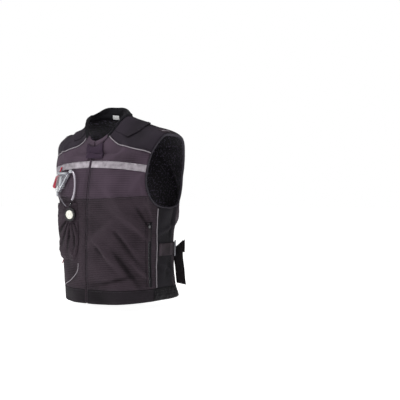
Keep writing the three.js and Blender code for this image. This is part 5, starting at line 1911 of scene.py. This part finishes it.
def plate(name, outline, depth, low=0.0, bevel=0.0012):
    """A flat outline given depth: a circle primitive whose corners are moved, then extruded."""
    bpy.ops.mesh.primitive_circle_add(vertices=len(outline), radius=1, fill_type="NGON")
    piece = bpy.context.active_object
    piece.name = piece.data.name = name
    for vertex, (x, y) in zip(piece.data.vertices, outline):
        vertex.co = (x, y, low)
    bpy.ops.object.mode_set(mode="EDIT")
    bpy.ops.mesh.select_all(action="SELECT")
    bpy.ops.mesh.extrude_region_move(TRANSFORM_OT_translate={"value": (0, 0, depth)})
    bpy.ops.mesh.select_all(action="SELECT")
    bpy.ops.mesh.normals_make_consistent(inside=False)
    bpy.ops.object.mode_set(mode="OBJECT")
    return soften(piece, bevel, 3)


COIL_RADIUS, COIL_RISE, COIL_TURNS = 0.0028, 0.0022, 6
SCREWS = ((-0.82, 0.70), (0.80, 0.70), (-0.74, -0.80))
SCREW_PROFILE = ((0.0022, 0), (0.0022, 0.0008), (0.0016, 0.0012), (0.0012, 0.0012), (0.0011, 0.0007))
TIP_PROFILE = ((0.0034, 0), (0.0038, 0.003), (0.0038, 0.010), (0.0026, 0.0125), (0.0026, 0.016))


def inflator_parts():
    at = seat(*inflator_seat, PIECE_GAP)
    half, tall, deep = INFLATOR_WIDTH / 2, INFLATOR_HEIGHT / 2, INFLATOR_DEPTH
    backing = tuple((x * 0.95, y * 0.95) for x, y in housing_outline())
    shell = plate("inflator_housing", housing_outline(), deep, bevel=0.0022)
    bar_middle = (-0.002, tall * 0.86, deep * 0.74)
    top_bar = block("inflator_top_bar", (half * 1.55, tall * 0.15, deep * 0.5), bar_middle)
    back_plate = plate("inflator_back_plate", backing, deep * 0.2, 0.0006, 0.0004)
    window_middle = (half * 0.22, tall * 0.30, deep * 0.36)
    window = block("inflator_window", (half * 0.62, tall * 0.62, deep * 0.25), window_middle, 0.0012)
    lever_middle = (-half * 0.62, -tall * 0.10, deep * 0.30)
    lever = block("inflator_lever", (half * 0.44, tall * 1.40, deep * 0.22), lever_middle, 0.0012)
    ridge_size = (half * 0.9, 0.0012, 0.0016)
    ridge = [block("inflator_ridge", ridge_size, (-half * 0.1, tall * y, deep * 0.36), 0.0004)
             for y in (-0.30, -0.46, -0.62)]
    slope = Vector((half - (INFLATOR_FOOT - half), tall * 1.5, 0))
    rod_middle = Vector(((half + INFLATOR_FOOT - half) / 2 + 0.001, -tall * 0.15, deep * 0.9))
    rod_stops = [rod_middle - slope * 0.56, rod_middle, rod_middle + slope * 0.60]
    rod = tube("inflator_rod", rod_stops, 0.0010, sides=2)
    coil_middle = Vector((-half * 0.20, -tall * 0.50, deep * 0.62))
    coil = [coil_middle + Vector((COIL_RADIUS * math.cos(t), COIL_RISE * t / 6.3, COIL_RADIUS * math.sin(t)))
            for t in np.arange(0, 6.3 * COIL_TURNS, 1.05)]
    spring = tube("inflator_spring", coil, 0.0005, sides=1, smooth=2)
    screws = [turned("inflator_screw", SCREW_PROFILE, 20) for _ in SCREWS]
    for screw, (x, y) in zip(screws, SCREWS):
        settle(screw, Matrix.Translation((half * x, tall * y, deep)))
    tip = turned("inflator_tip", TIP_PROFILE, 24)
    tip_place = Matrix.Translation((-half * 0.80, -tall + 0.001, deep * 0.5))
    settle(tip, tip_place @ Matrix.Rotation(math.pi / 2, 4, "X"))
    metal = joined("inflator_metal", [rod, spring, *screws])
    pale = joined("inflator_pale_parts", [top_bar, lever, tip, *ridge])
    for piece in (shell, back_plate, window, metal, pale):
        settle(piece, at)
    dress(shell, clear_plastic, "clear_plastic", "inflator_body")
    dress(back_plate, window_plastic, "clear_plastic")
    dress(window, window_plastic, "clear_plastic")
    dress(metal, fitting_metal, "fitting_metal")
    dress(pale, pale_plastic, "clear_plastic")
    for piece in (shell, back_plate, window, metal, pale):
        bpy.ops.object.select_all(action="DESELECT")
        piece.select_set(True)
        bpy.context.view_layer.objects.active = piece
        bpy.ops.object.shade_smooth_by_angle(angle=math.radians(35))
        piece.select_set(False)


BOTTLE_NECK = (
    # width and distance below the top, in radii
    (1, 1.1), (0.93, 0.75), (0.70, 0.5), (0.62, 0.42), (0.62, 0.30), (0.72, 0.26), (0.72, 0.05), (0.60, 0),
)


def cartridge():
    """The gas bottle: a drawn tube with a round end, a neck and a threaded collar."""
    half, r = CARTRIDGE_LENGTH / 2, CARTRIDGE_RADIUS
    dome = [(r * math.sin(a), -half + r * (1 - math.cos(a))) for a in np.radians((12, 30, 50, 70, 88))]
    neck = [(r * wide, half - r * down) for wide, down in BOTTLE_NECK]
    piece = turned("gas_bottle", [*dome, (r, -half + r * 1.2), *neck], 40)
    seat_matrix = seat(*cartridge_seat, CARTRIDGE_RADIUS + CARTRIDGE_OUT, CARTRIDGE_TURN)
    seat_matrix = seat_matrix @ Matrix.Rotation(math.radians(-CARTRIDGE_TILT), 4, "X")
    settle(piece, seat_matrix @ Matrix.Rotation(-math.pi / 2, 4, "X"))
    dress(piece, red_metal, "red_metal", "gas_cartridge")


def hose_fitting():
    """A barbed fitting: a nut, a collar and ridges that hold the hose."""
    r, half = FITTING_RADIUS, FITTING_LENGTH / 2
    profile = [
        (r * 0.75, -half), (r * 0.86, -half + 0.0006), (r * 0.86, -half + 0.0018),
        (r * 0.68, -half + 0.0022), (r, -half + 0.0028), (r, 0.0010), (r * 0.8, 0.0016),
        (r * 0.8, half - 0.0030), (r * 0.7, half - 0.0028), (r * 0.82, half - 0.0012), (r * 0.66, half),
    ]
    piece = turned("fitting", profile, 32)
    matrix = seat(*fitting_seat, PIECE_GAP + INFLATOR_DEPTH / 2, FITTING_TURN)
    settle(piece, matrix @ Matrix.Rotation(math.pi / 2, 4, "Y"))
    dress(piece, pale_plastic, "fitting_metal", "hose_fitting")


inflator_parts()
cartridge()
hose_fitting()
print("inflator at", [round(float(value), 3) for value in inflator_seat])

# %% [markdown]
# The hose arcs from the fitting down to a short lanyard. It is held at both ends, so it is a tube
# along the frame's own route. The disc is a turned button in a rubber ring. The short lanyard is a
# black cord with a small clamp, and the side lanyard is two thinner grey cords.

# %% Hose, disc and lanyards
HOSE_RADIUS = 0.0032
LANYARD_RADIUS = 0.0013
HOSE_ROUTE = (
    # along and up from the fitting, and out from the cloth
    (FITTING_LENGTH / 2 + 0.0028, -0.0003, 0.0040), (0.0152, -0.0060, 0.0046),
    (0.0227, -0.0196, 0.0054), (0.0254, -0.0387, 0.0050), (0.0235, -0.0589, 0.0046),
    (0.0177, -0.0783, 0.0046), (0.0092, -0.0932, 0.0050),
)


def cloth_points(stops):
    """Points given by metres along and up from the inflator, and out from the cloth."""
    places = [from_inflator(along, up) for along, up, _ in stops]
    return [place(np.array([float(d)]), np.array([float(v)]), stop[2], rumple=False)[0]
            for (d, v), stop in zip(places, stops)]


hose_stops = [(FITTING_PLACE[0] + along, FITTING_PLACE[1] + up, out + HOSE_RADIUS)
              for along, up, out in HOSE_ROUTE]
hose = tube("hose", cloth_points(hose_stops), HOSE_RADIUS, sides=5, smooth=12)
dress(hose, hose_plastic, "hose_plastic", "inflator_hose")

disc_seat = from_inflator(*DISC_PLACE)
LIP_RADIUS = 0.0144
LIP_FOOT = 0.0019
BEZEL_PROFILE = (
    (BEZEL_RADIUS * 0.94, -0.0060), (BEZEL_RADIUS * 0.97, -0.0006), (BEZEL_RADIUS, 0.0002),
    (BEZEL_RADIUS, BEZEL_DEPTH * 0.55), (BEZEL_RADIUS - 0.0006, BEZEL_DEPTH * 0.85),
    (BEZEL_RADIUS - 0.0015, BEZEL_DEPTH), (LIP_RADIUS + 0.0008, BEZEL_DEPTH),
    (LIP_RADIUS, BEZEL_DEPTH * 0.85), (LIP_RADIUS, LIP_FOOT), (DISC_RADIUS + PIECE_GAP, LIP_FOOT),
    (DISC_RADIUS + PIECE_GAP, 0.0004),
)
DISC_PROFILE = (
    (DISC_RADIUS - 0.0004, 0.0005), (DISC_RADIUS, 0.0009), (DISC_RADIUS, 0.0014),
    (LIP_RADIUS - 0.0006, 0.0016), (LIP_RADIUS - 0.0006, DISC_DEPTH - 0.0006),
    (LIP_RADIUS - 0.0014, DISC_DEPTH), (DISC_RADIUS * 0.60, DISC_DEPTH),
    (DISC_RADIUS * 0.585, DISC_DEPTH - 0.0005), (DISC_RADIUS * 0.53, DISC_DEPTH - 0.0005),
    (DISC_RADIUS * 0.515, DISC_DEPTH), (DISC_RADIUS * 0.20, DISC_DEPTH),
    (DISC_RADIUS * 0.18, DISC_DEPTH - 0.0004),
)
bezel = turned("bezel", BEZEL_PROFILE, 64)
disc_frame = seat(*disc_seat, POCKET_DEPTH) @ Matrix.Rotation(math.radians(DISC_TILT), 4, "Y")
settle(bezel, disc_frame.copy())
dress(bezel, bezel_rubber, "bezel_rubber", "disc_bezel")
disc = turned("disc", DISC_PROFILE, 72)
settle(disc, disc_frame.copy())
dress(disc, disc_plastic, "disc_plastic", "release_disc")

hose_end = HOSE_ROUTE[-1]
lanyard_top = (
    FITTING_PLACE[0] + hose_end[0] - 0.0013,
    FITTING_PLACE[1] + hose_end[1] - HOSE_RADIUS - 0.0004,
    0.008,
)
lanyard_foot = (DISC_PLACE[0] + 0.0014, DISC_PLACE[1] + BEZEL_RADIUS + LANYARD_RADIUS, 0.017)
front_stops = [tuple(mix(start, end, t) for start, end in zip(lanyard_top, lanyard_foot))
               for t in (-0.25, 0, 0.25, 0.5, 0.75, 1)]
lanyard = tube("lanyard_short", cloth_points(front_stops), LANYARD_RADIUS, sides=3, smooth=6)
dress(lanyard, cord_cloth, "lanyard_cord", "lanyard_front")
clamp = turned("lanyard_clamp", ((0.0014, -0.004), (0.0024, -0.0036), (0.0024, 0.0036), (0.0014, 0.004)), 20)
before, middle_point, after = (Vector(point) for point in cloth_points(front_stops[2:5]))
heading = after - before
settle(clamp, Matrix.Translation(middle_point) @ heading.to_track_quat("Z", "X").to_matrix().to_4x4())
dress(clamp, dark_plastic, "lanyard_cord")

SIDE_START = (-INFLATOR_WIDTH / 2 - 0.0129, -INFLATOR_HEIGHT / 2 + 0.0004)
SIDE_END = (DISC_PLACE[0] - BEZEL_RADIUS + 0.0009, DISC_PLACE[1] + BEZEL_RADIUS + 0.0057)
SIDE_SAG = 0.0026


def side_stops(spread):
    """The stops of one cord, which bows away from the other one in the middle."""
    stops = []
    for t in (0, 0.15, 0.3, 0.45, 0.6, 0.75, 0.9, 1):
        along = mix(SIDE_START[0], SIDE_END[0], t) + spread * 0.5
        up = mix(SIDE_START[1], SIDE_END[1], t) + (spread - SIDE_SAG) * math.sin(math.pi * t)
        stops.append((along, up, mix(0.0056, 0.0126, t)))
    return stops


cords = [tube(f"lanyard_cord_{k}", cloth_points(side_stops(spread)), 0.0008, sides=2, smooth=5)
         for k, spread in enumerate((-0.0016, 0.0016))]
side_lanyard = joined("lanyard_long", cords)
dress(side_lanyard, thin_cord, "lanyard_cord", "lanyard_side")

TAG_WIDTH, TAG_HEIGHT = 0.007, 0.016
TAGS = (
    # name, middle, height over the cloth
    ("upper", from_inflator(-0.021, INFLATOR_HEIGHT / 2 + TAG_HEIGHT / 2 + 0.002), 0.0041),
    ("lower", (-60, 0.205), 0.0050),
)
for name, middle, out in TAGS:
    tag_spot = rectangle(middle, TAG_WIDTH, TAG_HEIGHT)
    tag = lay(f"tag_{name}", tag_spot, out=out, wall=0.0012, cell=0.0014, roll=0.0002, pucker=0,
              edges=False, lift=lambda u, w: 0.0045 * (1 - w) ** 1.5)
    dress(tag, tag_cloth, "tag_webbing", f"pull_tag_{name}")
print("disc seat", [round(float(value), 3) for value in disc_seat])

# %% [markdown]
# The last pieces are the rows of stitches along the seams. Each row follows its seam at a steady
# distance, on the rumpled cloth, and each kind of row is one mesh.

# %% Seam stitches
SEAM_OUT = -0.0002
ZIP_ROW = 0.0115
CHANNEL_STITCH = 0.0024


def both_sides(route, turn=1):
    """The rows above and below a seam."""
    return [shifted(route, turn * STITCH_INSET), shifted(route, -turn * STITCH_INSET)]


def seam_rows(side):
    """The rows along the seams on one side of the vest."""
    yoke_route = flipped(trimmed(yoke_seam, 0.02, 0.98), side)
    chest_route = flipped(chest_seam, side)
    side_route = flipped(trimmed(side_edge, 0.01, 0.98), side)
    hem_route = line((side * 2.0, HEM_LEVEL), (side * ELASTIC_FROM, HEM_LEVEL))
    foot_route = line((side * 2.0, 0.0), (side * ELASTIC_FROM, 0.0))
    zip_route = flipped(beside_zip(HEM_LEVEL, 0.995), side)
    rear_route = flipped(rear_foot, side)
    rows = [*both_sides(yoke_route), *both_sides(chest_route), *both_sides(side_route),
            *both_sides(hem_route, side), shifted(foot_route, side * STITCH_INSET),
            shifted(zip_route, side * -STITCH_INSET), shifted(zip_route, side * -ZIP_ROW)]
    return rows + both_sides(rear_route)


def back_rows():
    rear = armhole(rear_end)
    yoke_line = line(rear, (360 - rear[0], rear[1]))
    hem_line = line((ELASTIC_TO, HEM_LEVEL), (360 - ELASTIC_TO, HEM_LEVEL))
    foot_line = line((ELASTIC_TO, 0.0), (360 - ELASTIC_TO, 0.0))
    return [*both_sides(yoke_line), *both_sides(hem_line), shifted(foot_line, STITCH_INSET)]


def channel_rows(side):
    levels = [HEM_LEVEL * (k + 1) / (CHANNELS + 1) for k in range(CHANNELS)]
    return [line((side * (ELASTIC_FROM + 1), level), (side * (ELASTIC_TO - 1), level)) for level in levels]


for side_name, side, _ in SIDES:
    stitch_rows(f"seam_stitches_{side_name}", seam_rows(side), SEAM_OUT, "chest_cloth")
    stitch_rows(f"channel_stitches_{side_name}", channel_rows(side), 0.0020, "hem_elastic",
                pitch=FINE_PITCH, size=CHANNEL_STITCH)
stitch_rows("back_stitches", back_rows(), SEAM_OUT, "body_mesh")
print("stitch faces", sum(len(o.data.polygons) for o in bpy.data.objects if "stitches" in o.name))

# %% [markdown]
# The photograph is a studio shot on white, taken level with the vest and from the wearer's left. A
# long lens from over two metres keeps the same flat perspective. A small light stands high over the
# front, a wide weak one at the wearer's right, a third behind on the left, and the floor is white.

# %% Camera, light and floor
AZIMUTH = math.radians(37)
ELEVATION = math.radians(0.5)
DISTANCE = 2.6
AIM = Vector((0, 0.034, -0.300))
AIM_RIGHT = 0.2739
AIM_UP = 0.0165
PICTURE_WIDTH = 1.320
AMBIENT = 0.12


def add_camera():
    back = Vector((math.sin(AZIMUTH) * math.cos(ELEVATION), -math.cos(AZIMUTH) * math.cos(ELEVATION),
                   math.sin(ELEVATION)))
    right = Vector((math.cos(AZIMUTH), math.sin(AZIMUTH), 0))
    up = back.cross(right)
    centre = AIM + right * AIM_RIGHT + up * AIM_UP
    bpy.ops.object.camera_add(location=centre + back * DISTANCE)
    camera = bpy.context.active_object
    camera.rotation_mode = "QUATERNION"
    camera.rotation_quaternion = back.to_track_quat("Z", "Y")
    camera.data.sensor_width = 36
    camera.data.lens = 36 * DISTANCE / PICTURE_WIDTH
    bpy.context.scene.camera = camera
    camera.select_set(False)


def add_light(name, azimuth, elevation, distance, size, power_watts):
    a, e = math.radians(azimuth), math.radians(elevation)
    back = Vector((math.sin(a) * math.cos(e), -math.cos(a) * math.cos(e), math.sin(e)))
    bpy.ops.object.light_add(type="AREA", location=AIM + back * distance)
    light = bpy.context.active_object
    light.name = name
    light.rotation_mode = "QUATERNION"
    light.rotation_quaternion = back.to_track_quat("Z", "Y")
    light.data.size = size
    light.data.energy = power_watts
    light.select_set(False)


add_camera()
add_light("key_light", -4, 66, 1.8, 0.4, 24)
add_light("fill_light", -45, 15, 2.2, 0.9, 8)
add_light("rim_light", 118, 40, 2.0, 0.6, 7)

world = bpy.data.worlds.new("studio")
bpy.context.scene.world = world
world.use_nodes = True
light_path = world.node_tree.nodes.new("ShaderNodeLightPath")
seen = world.node_tree.nodes.new("ShaderNodeMapRange")
seen.inputs["To Min"].default_value = AMBIENT
world.node_tree.links.new(light_path.outputs["Is Camera Ray"], seen.inputs["Value"])
world.node_tree.links.new(seen.outputs[0], world.node_tree.nodes["Background"].inputs[1])
world.node_tree.nodes["Background"].inputs[0].default_value = (1, 1, 1, 1)
bpy.context.scene.view_settings.view_transform = "Standard"

FLOOR_GAP = 0.02
bpy.ops.mesh.primitive_plane_add(size=30, location=(0, 0, cad_low.z - FLOOR_GAP))
floor = bpy.context.active_object
floor.name = "floor"
white = Finish("floor_white", Roughness=0.9, Emission_Color=(1, 1, 1, 1), Emission_Strength=0.96)
grain = white.noise(white.object_places(), 3.0)
white.feed("Base Color", white.blend(grain, (0.93, 0.93, 0.93), (0.96, 0.96, 0.96)))
floor.data.materials.append(white.material)
floor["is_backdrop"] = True
print("camera", [round(value, 2) for value in bpy.context.scene.camera.location])

# %% [markdown]
# The sizes of the frame and of the dressed vest, side by side. The dressed vest has to stay in the
# frame's box.

# %% Finish
low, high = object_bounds()
{"cad": [list(cad_low), list(cad_high)], "visual": [list(low), list(high)]}
